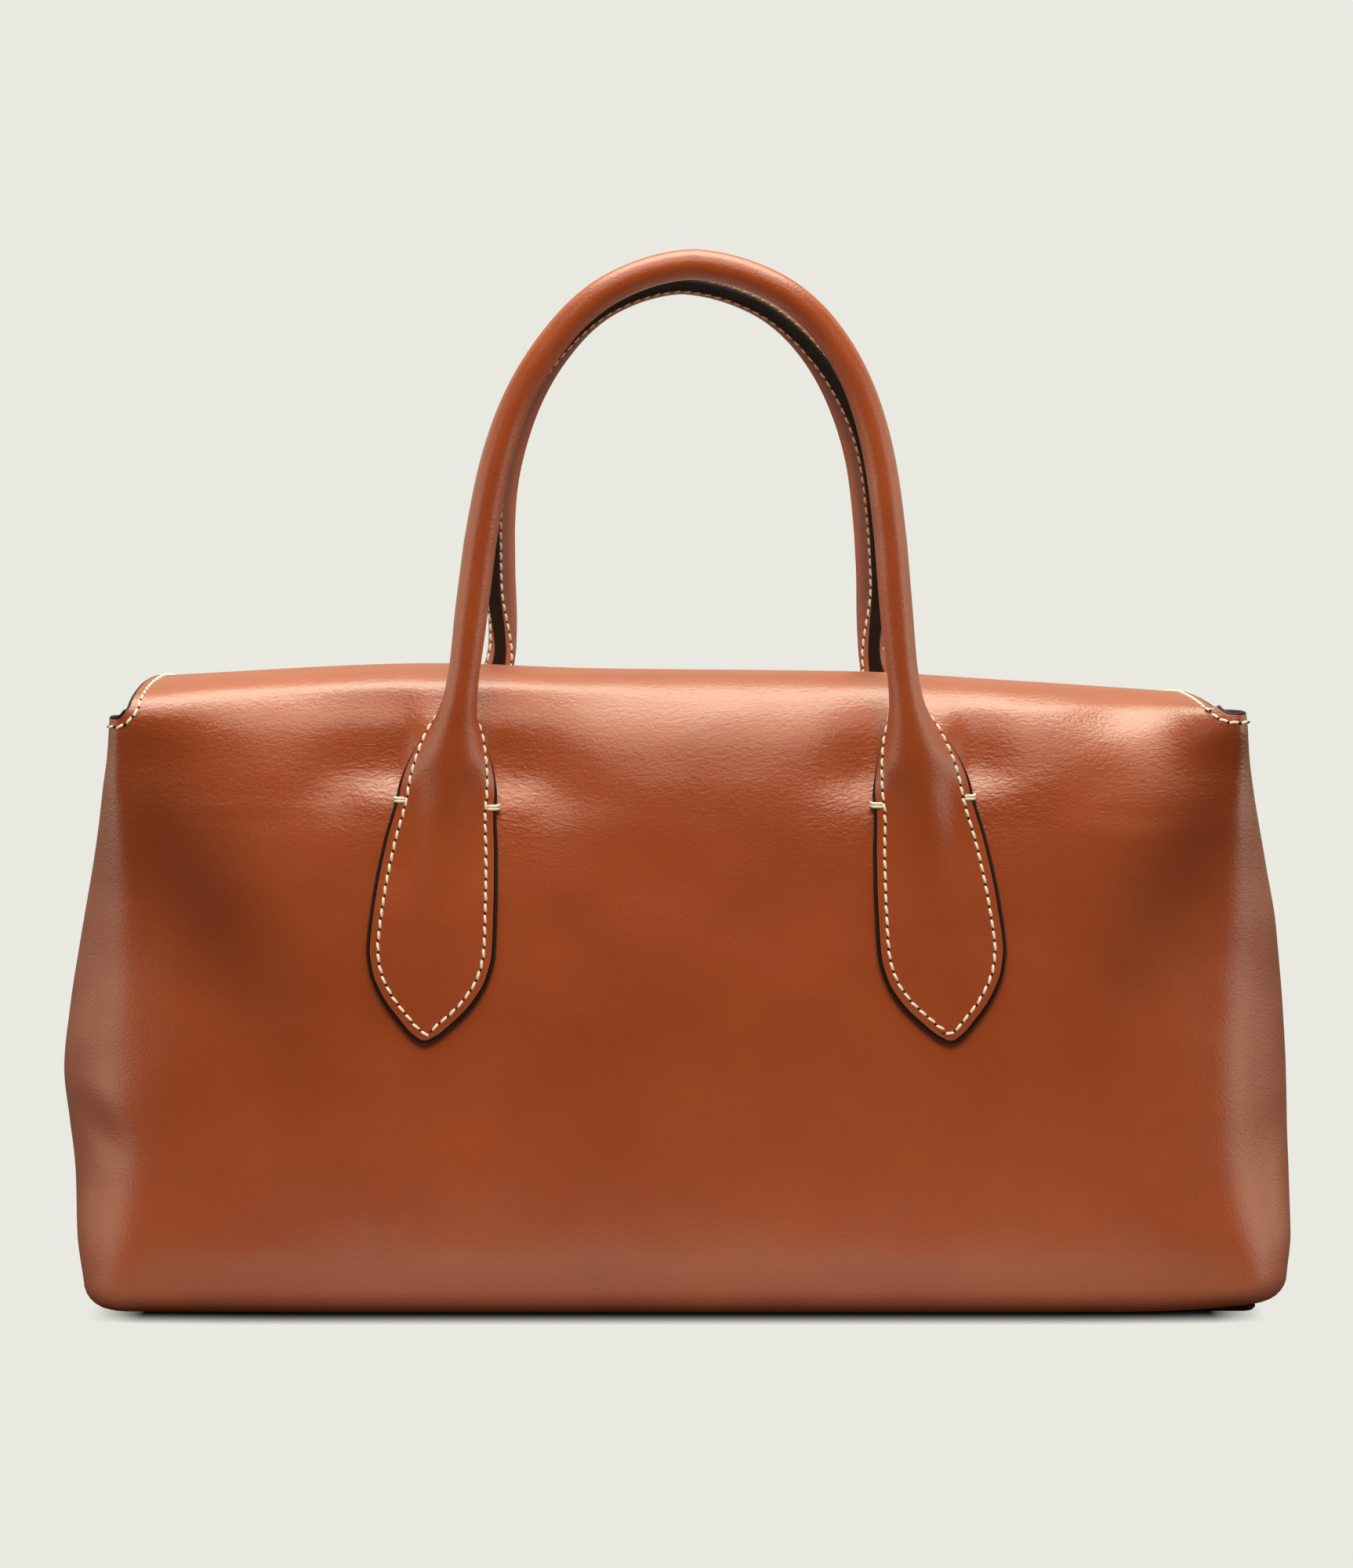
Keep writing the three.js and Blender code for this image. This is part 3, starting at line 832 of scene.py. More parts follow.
def calf_colour(tree, clouds, dark, light):
    """Tanned brown between two tones, darker with painted shade on the handles' seam side and in bands below
    the ears.
    """
    tanned = add(tree, "ShaderNodeMix", {
        "Factor": clouds, 6: tone(dark), 7: tone(light)}, data_type="RGBA")
    dull_and_shade = add(tree, "ShaderNodeAttribute", attribute_name="dull_and_shade").outputs["Fac"]
    painted_shade = add(tree, "ShaderNodeAttribute", attribute_name="painted_shade").outputs["Fac"]
    darker = add(tree, "ShaderNodeMath", {0: dull_and_shade, 1: painted_shade}, operation="ADD", use_clamp=True)
    colour = add(tree, "ShaderNodeMix", {
        "Factor": darker.outputs[0], 6: tanned.outputs[2], 7: tone("#6b2a11")}, data_type="RGBA")
    return colour.outputs[2]


def calf_grain(tree, place):
    """Crackle where the leather is pulled, slow waves and pores, all drawn coarser than real, to show."""
    stretched = add(tree, "ShaderNodeMapping", {
        "Vector": place, "Scale": (1 / WRINKLE_STRETCH, 1.0, 1.0)})
    wrinkles = add(tree, "ShaderNodeTexNoise", {
        "Vector": stretched.outputs["Vector"], "Scale": per_metre(WRINKLE_SIZE),
        "Detail": 2.0, "Distortion": 0.6})
    pulled = add(tree, "ShaderNodeAttribute", attribute_name="crackle").outputs["Fac"]
    crackle = add(tree, "ShaderNodeMath", {0: wrinkles.outputs["Fac"], 1: pulled}, operation="MULTIPLY")
    crackled = add(tree, "ShaderNodeBump", {
        "Strength": 1.0, "Distance": WRINKLE_DEPTH * MM, "Height": crackle.outputs[0]})
    waves = add(tree, "ShaderNodeTexNoise", {"Vector": place, "Scale": per_metre(WAVE_SIZE), "Detail": 1.0})
    wavy = add(tree, "ShaderNodeBump", {
        "Strength": 1.0, "Distance": WAVE_DEPTH * MM, "Height": waves.outputs["Fac"],
        "Normal": crackled.outputs["Normal"]})
    pores = add(tree, "ShaderNodeTexNoise", {"Vector": place, "Scale": per_metre(PORE_SIZE), "Detail": 3.0})
    porous = add(tree, "ShaderNodeBump", {
        "Strength": 0.4, "Distance": PORE_DEPTH * MM, "Height": pores.outputs["Fac"],
        "Normal": wavy.outputs["Normal"]})
    return porous.outputs["Normal"]


def smooth_calf(name, dark, light):
    """Vegetable-tanned calf, glazed: an even brown with faint clouds, fine pores and a soft wide gloss."""
    material, tree = new_material(name)
    place = add(tree, "ShaderNodeTexCoord").outputs["Object"]
    clouds = add(tree, "ShaderNodeTexNoise", {
        "Vector": place, "Scale": per_metre(CLOUD_SIZE), "Detail": 8.0, "Roughness": 0.62}).outputs["Fac"]
    glazed = add(tree, "ShaderNodeMapRange", {"Value": clouds, "To Min": 0.31, "To Max": 0.38})
    # This mark makes the roll rougher towards its seam, and calf_colour darkens it there with painted shade.
    dull_and_shade = add(tree, "ShaderNodeAttribute", attribute_name="dull_and_shade").outputs["Fac"]
    gloss = add(tree, "ShaderNodeMath", {
        0: dull_and_shade, 1: 0.35, 2: glazed.outputs[0]}, operation="MULTIPLY_ADD")
    shader = add(tree, "ShaderNodeBsdfPrincipled", {
        "Base Color": calf_colour(tree, clouds, dark, light), "Roughness": gloss.outputs[0], "IOR": 2.5,
        "Normal": calf_grain(tree, place)})
    add(tree, "ShaderNodeOutputMaterial", {"Surface": shader.outputs[0]})
    return material


def suede_side():
    """Flesh side of the leather: pale, dry and with no gloss. Its fuzz is drawn coarse enough to show."""
    material, tree = new_material("suede_flesh_side")
    place = add(tree, "ShaderNodeTexCoord").outputs["Object"]
    fuzz = add(tree, "ShaderNodeTexNoise", {"Vector": place, "Scale": per_metre(FUZZ_SIZE), "Detail": 4.0})
    colour = add(tree, "ShaderNodeMix", {
        "Factor": fuzz.outputs["Fac"], 6: tone("#a58a6c"), 7: tone("#c9b294")}, data_type="RGBA")
    bump = add(tree, "ShaderNodeBump", {
        "Strength": 0.5, "Distance": FUZZ_DEPTH * MM, "Height": fuzz.outputs["Fac"]})
    shader = add(tree, "ShaderNodeBsdfPrincipled", {
        "Base Color": colour.outputs[2], "Roughness": 0.95, "Specular IOR Level": 0.2,
        "Normal": bump.outputs["Normal"]})
    add(tree, "ShaderNodeOutputMaterial", {"Surface": shader.outputs[0]})
    return material


def edge_paint():
    """Acrylic paint on a sanded edge: black, with a rounded satin gleam."""
    material, tree = new_material("acrylic_edge_paint")
    place = add(tree, "ShaderNodeTexCoord").outputs["Object"]
    brush = add(tree, "ShaderNodeTexNoise", {"Vector": place, "Scale": per_metre(BRUSH_SIZE), "Detail": 3.0})
    colour = add(tree, "ShaderNodeMix", {
        "Factor": brush.outputs["Fac"], 6: tone("#0b0808"), 7: tone("#1a1413")}, data_type="RGBA")
    bump = add(tree, "ShaderNodeBump", {
        "Strength": 0.3, "Distance": BRUSH_DEPTH * MM, "Height": brush.outputs["Fac"]})
    shader = add(tree, "ShaderNodeBsdfPrincipled", {
        "Base Color": colour.outputs[2], "Roughness": 0.5, "Normal": bump.outputs["Normal"]})
    add(tree, "ShaderNodeOutputMaterial", {"Surface": shader.outputs[0]})
    return material


def waxed_thread():
    """Waxed linen thread: cream, finely twisted, with a dull shine, and browner higher up, as painted shade
    on the handles' stitches.
    """
    material, tree = new_material("waxed_linen_thread")
    place = add(tree, "ShaderNodeTexCoord").outputs["Object"]
    twist = add(tree, "ShaderNodeTexNoise", {"Vector": place, "Scale": per_metre(TWIST_SIZE), "Detail": 2.0})
    cream = add(tree, "ShaderNodeMix", {
        "Factor": twist.outputs["Fac"], 6: tone("#efe0ca"), 7: tone("#fffaf0")}, data_type="RGBA")
    height = add(tree, "ShaderNodeSeparateXYZ", {"Vector": place}).outputs["Z"]
    thread_shade = add(tree, "ShaderNodeMapRange", {
        "Value": height, "From Min": THREAD_SHADE_Z[0] * MM, "From Max": THREAD_SHADE_Z[1] * MM})
    colour = add(tree, "ShaderNodeMix", {
        "Factor": thread_shade.outputs["Result"], 6: cream.outputs[2], 7: tone("#a67a58")}, data_type="RGBA")
    bump = add(tree, "ShaderNodeBump", {
        "Strength": 0.4, "Distance": TWIST_DEPTH * MM, "Height": twist.outputs["Fac"]})
    shader = add(tree, "ShaderNodeBsdfPrincipled", {
        "Base Color": colour.outputs[2], "Roughness": 0.6, "Normal": bump.outputs["Normal"]})
    add(tree, "ShaderNodeOutputMaterial", {"Surface": shader.outputs[0]})
    return material


def needle_hole():
    """Needle-hole marks and the pressed leather between stitches, with the shade in their grooves painted in:
    a dark brown.
    """
    material, tree = new_material("needle_hole_painted_shade")
    place = add(tree, "ShaderNodeTexCoord").outputs["Object"]
    stain = add(tree, "ShaderNodeTexNoise", {"Vector": place, "Scale": per_metre(STAIN_SIZE), "Detail": 2.0})
    colour = add(tree, "ShaderNodeMix", {
        "Factor": stain.outputs["Fac"], 6: tone("#1d0d07"), 7: tone("#32160b")}, data_type="RGBA")
    shader = add(tree, "ShaderNodeBsdfPrincipled", {"Base Color": colour.outputs[2], "Roughness": 0.8})
    add(tree, "ShaderNodeOutputMaterial", {"Surface": shader.outputs[0]})
    return material


def base_leather():
    """Pebbled dark leather under the bag: matt, with a round coarse grain."""
    material, tree = new_material("pebbled_base_leather")
    place = add(tree, "ShaderNodeTexCoord").outputs["Object"]
    pebbles = add(tree, "ShaderNodeTexVoronoi", {"Vector": place, "Scale": per_metre(PEBBLE_SIZE)})
    colour = add(tree, "ShaderNodeMix", {
        "Factor": pebbles.outputs["Distance"], 6: tone("#2c1a13"), 7: tone("#140b08")}, data_type="RGBA")
    bump = add(tree, "ShaderNodeBump", {
        "Strength": 0.6, "Distance": PEBBLE_DEPTH * MM, "Height": pebbles.outputs["Distance"]}, invert=True)
    shader = add(tree, "ShaderNodeBsdfPrincipled", {
        "Base Color": colour.outputs[2], "Roughness": 0.6, "Normal": bump.outputs["Normal"]})
    add(tree, "ShaderNodeOutputMaterial", {"Surface": shader.outputs[0]})
    return material


CALF_TONES = ("#953b1b", "#bd592a")
calf = smooth_calf("glazed_calf", *CALF_TONES)
handle_calf = smooth_calf("glazed_calf_handles", *CALF_TONES)
suede = suede_side()
paint = edge_paint()
linen = waxed_thread()
hole = needle_hole()


# Stitching


def new_tree(name, inputs, output):
    """A tree with named inputs, and its one output of geometry."""
    tree = bpy.data.node_groups.new(name, "GeometryNodeTree")
    for label, kind in inputs:
        tree.interface.new_socket(label, in_out="INPUT", socket_type="NodeSocket" + kind)
    tree.interface.new_socket(output, in_out="OUTPUT", socket_type="NodeSocketGeometry")
    return tree, add(tree, "NodeGroupInput").outputs


def round_thread(tree, path, diameter):
    """A round thread along a curve, with closed ends."""
    radius = add(tree, "ShaderNodeMath", {0: diameter, 1: 0.5}, operation="MULTIPLY")
    section = add(tree, "GeometryNodeCurvePrimitiveCircle", {
        "Resolution": THREAD_SIDES, "Radius": radius.outputs[0]})
    thread = add(tree, "GeometryNodeCurveToMesh", {
        "Curve": path, "Profile Curve": section.outputs["Curve"], "Fill Caps": True})
    return thread.outputs["Mesh"]


def one_stitch(tree, given):
    """One stitch: a thread that arches over the leather, with its ends sunk in it."""
    reach = add(tree, "ShaderNodeMath", {0: given["Length"], 1: 0.5}, operation="MULTIPLY")
    front = add(tree, "ShaderNodeMath", {0: reach.outputs[0], 1: given["Shift"]}, operation="ADD")
    behind = add(tree, "ShaderNodeMath", {0: given["Shift"], 1: reach.outputs[0]}, operation="SUBTRACT")
    sink = add(tree, "ShaderNodeMath", {0: given["Diameter"], 1: -STITCH_SINK}, operation="MULTIPLY")
    start = add(tree, "ShaderNodeCombineXYZ", {"X": behind.outputs[0], "Z": sink.outputs[0]})
    crown = add(tree, "ShaderNodeCombineXYZ", {"X": given["Shift"], "Z": given["Rise"]})
    end = add(tree, "ShaderNodeCombineXYZ", {"X": front.outputs[0], "Z": sink.outputs[0]})
    arch = add(tree, "GeometryNodeCurveQuadraticBezier", {
        "Resolution": THREAD_STEPS,
        "Start": start.outputs[0], "Middle": crown.outputs[0], "End": end.outputs[0]})
    return round_thread(tree, arch.outputs["Curve"], given["Diameter"])


def laid_on_leather(tree, given):
    """How a stitch is turned: along the path, flat on the leather, slanted and a little unsteady."""
    up = add(tree, "GeometryNodeInputNamedAttribute", {"Name": "up"}, data_type="FLOAT_VECTOR")
    forward = add(tree, "GeometryNodeInputTangent")
    lie = add(tree, "FunctionNodeAxesToRotation", {
        "Primary Axis": up.outputs["Attribute"], "Secondary Axis": forward.outputs["Tangent"],
    }, primary_axis="Z", secondary_axis="X")
    sway = add(tree, "FunctionNodeRandomValue", {
        2: -STITCH_SWAY, 3: STITCH_SWAY, "Seed": given["Seed"]}, data_type="FLOAT")
    slant = add(tree, "ShaderNodeMath", {0: sway.outputs[1], 1: given["Slant"]}, operation="ADD")
    about = add(tree, "ShaderNodeCombineXYZ", {"Z": slant.outputs[0]})
    turn = add(tree, "FunctionNodeEulerToRotation", {"Euler": about.outputs[0]})
    laid = add(tree, "FunctionNodeRotateRotation", {
        "Rotation": lie.outputs[0], "Rotate By": turn.outputs[0]}, rotation_space="LOCAL")
    return laid.outputs[0]


def stitch_tree():
    """Stitches laid along a path, one at every pitch."""
    sizes = ("Pitch", "Length", "Diameter", "Rise", "Slant", "Shift")
    inputs = [("Path", "Geometry"), *((label, "Float") for label in sizes)]
    inputs += [("Material", "Material"), ("Seed", "Int")]
    tree, given = new_tree("stitch_line", inputs, "Stitches")
    line = add(tree, "GeometryNodeMeshToCurve", {"Mesh": given["Path"]})
    spots = add(tree, "GeometryNodeResampleCurve", {
        "Curve": line.outputs["Curve"], "Length": given["Pitch"]}, mode="LENGTH")
    row = add(tree, "GeometryNodeInstanceOnPoints", {
        "Points": spots.outputs["Curve"], "Instance": one_stitch(tree, given),
        "Rotation": laid_on_leather(tree, given)})
    solid = add(tree, "GeometryNodeRealizeInstances", {"Geometry": row.outputs["Instances"]})
    soft = add(tree, "GeometryNodeSetShadeSmooth", {"Geometry": solid.outputs["Geometry"]})
    dressed = add(tree, "GeometryNodeSetMaterial", {
        "Geometry": soft.outputs["Geometry"], "Material": given["Material"]})
    add(tree, "NodeGroupOutput", {"Stitches": dressed.outputs["Geometry"]})
    return tree


def thread_tree():
    """A round thread along a path."""
    inputs = (("Path", "Geometry"), ("Diameter", "Float"), ("Material", "Material"))
    tree, given = new_tree("thread_along_path", inputs, "Threads")
    line = add(tree, "GeometryNodeMeshToCurve", {"Mesh": given["Path"]})
    thread = round_thread(tree, line.outputs["Curve"], given["Diameter"])
    soft = add(tree, "GeometryNodeSetShadeSmooth", {"Geometry": thread})
    solid = add(tree, "GeometryNodeRealizeInstances", {"Geometry": soft.outputs["Geometry"]})
    dressed = add(tree, "GeometryNodeSetMaterial", {
        "Geometry": solid.outputs["Geometry"], "Material": given["Material"]})
    add(tree, "NodeGroupOutput", {"Threads": dressed.outputs["Geometry"]})
    return tree


def grow(name, tree, paths, ups, inputs):
    """A piece that a node tree grows along paths, as a plain mesh."""
    starts = np.cumsum([0] + [len(p) for p in paths])
    edges = [(a + i, a + i + 1) for a, p in zip(starts, paths) for i in range(len(p) - 1)]
    guide_mesh = bpy.data.meshes.new(name + "_path")
    guide_mesh.from_pydata((np.vstack(paths) * MM).tolist(), edges, [])
    up = guide_mesh.attributes.new("up", "FLOAT_VECTOR", "POINT")
    up.data.foreach_set("vector", np.vstack(ups).astype(np.float32).ravel())
    guide = bpy.data.objects.new(name + "_path", guide_mesh)
    bpy.context.scene.collection.objects.link(guide)
    growth = guide.modifiers.new("growth", "NODES")
    growth.node_group = tree
    sockets = {s.name: s.identifier for s in tree.interface.items_tree if s.in_out == "INPUT"}
    for label, value in inputs.items():
        growth[sockets[label]] = value
    view = bpy.context.evaluated_depsgraph_get()
    mesh = bpy.data.meshes.new_from_object(guide.evaluated_get(view), depsgraph=view)
    bpy.data.objects.remove(guide)
    mesh.name = name
    piece = bpy.data.objects.new(name, mesh)
    bpy.context.scene.collection.objects.link(piece)
    return piece


stitch_nodes = stitch_tree()
thread_nodes = thread_tree()


def sew(name, paths, ups, seed):
    """A line of stitches and dark needle-hole marks between them, which paint in the shade of their grooves.
    """
    pitch, thread = STITCH_PITCH * MM, THREAD * MM
    row = grow(name + "_stitches", stitch_nodes, paths, ups, {
        "Pitch": pitch, "Length": STITCH_LENGTH * MM, "Diameter": thread, "Rise": thread * STITCH_RISE,
        "Slant": STITCH_SLANT, "Shift": 0.0, "Material": linen, "Seed": seed})
    finish_piece(row, "thread")
    hole_shades = grow(name + "_needle_hole_shades", stitch_nodes, paths, ups, {
        "Pitch": pitch, "Length": (STITCH_PITCH - STITCH_LENGTH) * MM, "Diameter": HOLE_DIAMETER * MM,
        "Rise": HOLE_RISE * MM, "Slant": 0.0, "Shift": pitch / 2, "Material": hole, "Seed": seed})
    finish_piece(hole_shades, "edge_paint")


# The panels


def bead(path_outer, path_inner, outward, bulge):
    """Rounded paint over a cut edge, from the outer to the inner face of the leather."""
    middle = (path_outer + path_inner) / 2
    through = (path_outer - path_inner) / 2 * PAINT_OVERLAP
    angle = np.arange(BEAD_POINTS) * 2 * math.pi / BEAD_POINTS
    ring = through[:, None] * np.cos(angle)[None, :, None]
    return middle[:, None] + ring + bulge * outward[:, None] * np.sin(angle)[None, :, None]


def crackle(x, z):
    """How crackled the leather is at a place."""
    amount = CRACKLE_TOP * ease(*CRACKLE_TOP_Z, z)
    for tack_x, tack_z in BAR_TACKS:
        aside = (x - tack_x) / CRACKLE_WIDE
        above = (z - tack_z - CRACKLE_ABOVE) / CRACKLE_TALL
        amount = np.maximum(amount, np.exp(-(aside**2) - above**2))
    return amount


def trim_panel(name, sheet, back):
    """The painted top edge of a panel, and the stitches inside it."""
    outer, inner, normals = sheet.outer[sheet.rim], sheet.inner[sheet.rim], sheet.normals[sheet.rim]
    way = unit(np.gradient(outer, axis=0))
    outward = unit(np.cross(normals, way)) * (-1 if back else 1)
    edge = make_piece(name + "_edge", *skin(bead(outer, inner, outward, EDGE_BULGE)), (paint,))
    finish_piece(edge, "edge_paint")
    sew(name, [outer - outward * STITCH_INSET], [normals], PANEL_SEED)


def make_panel(name, back):
    """A panel: its finished face, its flesh side and the cut edges between them, then its trim."""
    sheet = panel_sheet(back)
    count = len(sheet.outer)
    side = open_edges(sheet.quads)
    walls = np.stack([side[:, 1], side[:, 0], side[:, 0] + count, side[:, 1] + count], -1)
    faces = np.vstack([sheet.quads, walls, sheet.quads[:, ::-1] + count])
    finish = np.repeat((0, 0, 1), (len(sheet.quads), len(walls), len(sheet.quads)))
    x, z = sheet.outer[:, 0], sheet.outer[:, 2]
    # The second mark darkens the colour with painted shade in bands below the ears.
    marks = {"crackle": np.tile(crackle(x, z), 2), "painted_shade": np.tile(fold_depth(PAINTED_SHADE_BANDS, x, z), 2)}
    points = np.vstack([sheet.outer, sheet.inner])
    piece = make_piece(name + "_leather", points, faces, (calf, suede), face_materials=finish, marks=marks)
    finish_piece(piece, "panel_leather", name)
    trim_panel(name, sheet, back)


# The handles


def across_face(face, shares, share):
    """Points of a handle's face at one share of its width for each station."""
    return np.stack([
        [np.interp(s, shares, row[:, k]) for s, row in zip(share, face)] for k in range(3)
    ], -1)


def short_of_end(path, length):
    """Which points of a path are further than that from its end."""
    way = way_along(path)
    return way < way[-1] - length


def stitch_shares(stations):
    """Where the stitches run across a handle's face: inside the tab's edge, then beside the roll's seam."""
    slant = np.hypot(1, np.gradient(stations.half, stations.way))
    on_tab = 1 - STITCH_INSET * slant / stations.half
    on_roll = 1 - SEAM_STITCH_INSET / sum(roll_sizes())
    return lerp(on_tab, on_roll, stations.rolled)


def sew_handle(name, stations, shares, face, mirror):
    """Stitches in one line along both sides of a handle, round the tabs' tips."""
    share = stitch_shares(stations)
    sewn = np.flatnonzero(share > 0)
    sewn = slice(sewn[0], sewn[-1] + 1)
    face, share = face[sewn], share[sewn]
    share[[0, -1]] = 0
    paths, ups = [], []
    for side, order in ((-1, slice(None)), (1, slice(-2, None, -1))):
        path = across_face(face, shares, side * share)
        beside = across_face(face, shares, side * share + SHARE_STEP)
        up = unit(np.cross(beside - path, np.gradient(path, axis=0)))
        paths.append(path[order] * mirror)
        ups.append(up[order] * mirror)
    path, up = np.vstack(paths), np.vstack(ups)
    kept = short_of_end(path, STITCH_PITCH)
    sew(name, [path[kept]], [up[kept]], HANDLE_SEED)


def tack_paths(face_y, edge_x, z, outside):
    """Two wraps of thread from a tab's face over its edge onto the wall."""
    paths = []
    for level in (z - TACK_APART, z + TACK_APART):
        pushed_in = relief(edge_x + outside * TACK_OUTSIDE, level, True)
        wall_y = -along(SECTIONS, "z", level, "depth") + pushed_in
        on_tab = [(edge_x + outside * aside, face_y + depth, level) for aside, depth in TACK_ON_TAB]
        on_wall = [(edge_x + outside * aside, wall_y + depth, level) for aside, depth in TACK_ON_WALL]
        paths.append(np.array(on_tab + on_wall))
    return paths


def tack_handle(name, stations, face, mirror):
    """The four bar tacks that hold a handle's tabs."""
    paths = []
    for x, z in BAR_TACKS:
        leg = slice(0, stations.legs) if x < 0 else slice(-stations.legs, None)
        station = np.argmin(np.abs(stations.z[leg] - z))
        row = face[leg][station]
        side = 0 if abs(row[0, 0] - x) < abs(row[-1, 0] - x) else -1
        outside = np.sign(row[side, 0] - row[len(row) // 2, 0])
        wraps = tack_paths(row[side, 1], row[side, 0], z, outside)
        paths += [evenly(wrap * mirror, TACK_POINTS) for wrap in wraps]
    inputs = {"Diameter": TACK_THREAD * MM, "Material": linen}
    piece = grow(name + "_bar_tacks", thread_nodes, paths, paths, inputs)
    finish_piece(piece, "thread")


def handle_faces(stations, shares, back):
    """Points of a handle's finished face and of the face behind it. The back handle leans aside."""
    face = handle_points(stations, shares, False)
    behind = handle_points(stations, np.linspace(1, -1, BACK_POINTS), True)
    if back:
        on_left = np.arange(len(stations.z)) < np.argmax(stations.z)
        left, right = (along(BACK_LEAN, "z", stations.z, side) for side in ("left", "right"))
        lean = np.where(on_left, left, right)[:, None]
        face[:, :, 0] += lean
        behind[:, :, 0] += lean
    return face, behind


def handle_dull_and_shade(stations, shares):
    """How rough and how darkened with painted shade a handle is round each of its stations: only on the roll,
    towards its seam and over its seam face.
    """
    seamward = stations.rolled[:, None] * ease(*DULL_AND_SHADE_SHARES, np.abs(shares))
    underneath = np.repeat(stations.rolled[:, None], BACK_POINTS, axis=1)
    return np.concatenate([seamward, underneath], axis=1)


def tab_bead(tab, face, behind):
    """Paint round a tab's cut edge, from its neck round its tip and back."""
    top = np.concatenate([face[tab[::-1], 0], face[tab, -1]])
    under = np.concatenate([behind[tab[::-1], -1], behind[tab, 0]])
    way = unit(np.gradient((top + under) / 2, axis=0))
    outward = unit(np.cross(unit(top - under), way))
    return bead(top, under, outward, TAB_EDGE_BULGE)


def seam_strip(stations, behind):
    """Paint along the roll's seam, domed on both sides."""
    strip = behind[stations.z > SEAM_STRIP_FOOT_Z]
    dome = STRIP_DOME * (1 - np.linspace(-1, 1, BACK_POINTS) ** STRIP_FLATNESS)
    top, under = strip.copy(), strip[:, ::-1].copy()
    top[:, :, 1] += dome
    under[:, :, 1] -= dome
    return np.concatenate([top, under], axis=1)


def paint_handle(name, stations, face, behind, mirror):
    """Paint on both tabs' cut edges and along the roll's seam."""
    left_tab = np.arange(stations.legs)[stations.z[: stations.legs] < NECK_Z]
    right_tab = len(stations.z) - 1 - left_tab
    beads = [tab_bead(tab, face, behind) for tab in (left_tab, right_tab)]
    points, faces = [], []
    for rings in (*beads, seam_strip(stations, behind)):
        add_skin(points, faces, rings * mirror)
    edge = make_piece(name + "_edge", np.vstack(points), faces, (paint,), sharp=EDGE_SHARP)
    finish_piece(edge, "edge_paint")


def make_handle(name, back):
    """A handle: leather wrapped into a roll and opened out into tabs, with painted edges and stitches."""
    stations = handle_stations()
    shares = face_shares()
    face, behind = handle_faces(stations, shares, back)
    mirror = np.array((1, -1 if back else 1, 1))
    rings = np.concatenate([face, behind], axis=1) * mirror
    dull_and_shade = handle_dull_and_shade(stations, shares)
    if not back:
        rings, dull_and_shade = rings[:, ::-1], dull_and_shade[:, ::-1]
    points, faces = skin(rings)
    marks = {"dull_and_shade": np.append(dull_and_shade.ravel(), (0, 0))}
    piece = make_piece(name + "_leather", points, faces, (handle_calf,), sharp=HANDLE_SHARP, marks=marks)
    finish_piece(piece, "handle_leather", name)
    paint_handle(name, stations, face, behind, mirror)
    sew_handle(name, stations, shares, face, mirror)
    tack_handle(name, stations, face, mirror)


# The base


def make_base(name):
    """The base panel: a stiff leather sheet with eased edges, set in from the walls' hem."""
    columns = panel_columns()
    low, high = BASE_EDGE, BASE_THICKNESS - BASE_EDGE
    levels = ((0, BASE_EDGE), (low, 0), (high, 0), (BASE_THICKNESS, BASE_EDGE))
    rings = []
    for z, inset in levels:
        x, y, _ = plan_points(np.full(len(columns.share), SECTIONS["z"][0]), BASE_INSET + inset, columns)
        half = np.stack([x, np.minimum(y, -GAP / 2), 0 * x + z], -1)
        rings.append(np.vstack([half, half[::-1] * (1, -1, 1)]))
    points, faces = skin(np.array(rings))
    piece = make_piece(name + "_leather", points, faces, (base_leather(),))
    finish_piece(piece, "base_leather", name)


# Camera and studio
CAMERA_PLACE = (-0.27, -1430, 296.5)
CAMERA_TILT = 5.044
FOCAL_PIXELS = 5245
IMAGE_HEIGHT = 2000
SENSOR = 36
CAMERA_REACH = 100000
BACKGROUND = "#e9e9e1"
LAMP_COLOUR = "#fff9e2"
BACKDROP_GLOW = "#f2dcbc"
BOUNCE_COLOUR = "#fff3da"
BOUNCE_SOFT = 1.0
BOUNCE_GLOSS = 0.45
CONTACT_SEEN = 12
CONTACT_HALF = (178, 196)
CONTACT_LIT = 50
CONTACT_POWER = 2.4
CONTACT_SAMPLES = 8
FLOOR_FRONT = -190
FLOOR_BACK = 6000
FLOOR_SIDE = 4000
GLOW_HALF = (110, 260)
GLOW_ASIDE = 0.35
BACKDROP_Y = (-0.1, 0.45)
BACKDROP_LIGHT = (0.012, 0.85)

# Softboxes: name, place, target, size, power and whether the leather mirrors them
LIGHTS = (
    ("top_softbox", (0, 0, 1350), (0, 0, 200), (1300, 1000), 13.2, True),
    ("front_softbox", (0, -850, 1150), (0, 0, 150), (1200, 500), 1.3, True),
    ("front_fill", (0, -1150, 1200), (0, 0, 150), (1000, 600), 19.4, False),
    ("left_reflector", (-1420, -300, 300), (0, 0, 120), (1400, 800), 1.5, True),
    ("left_card", (-1300, -750, 300), (0, 0, 120), (1000, 800), 0.8, True),
    ("right_reflector", (1420, -300, 300), (0, 0, 120), (1400, 800), 1.8, True),
    ("right_card", (1300, -750, 300), (0, 0, 120), (1000, 800), 1.0, True),
)


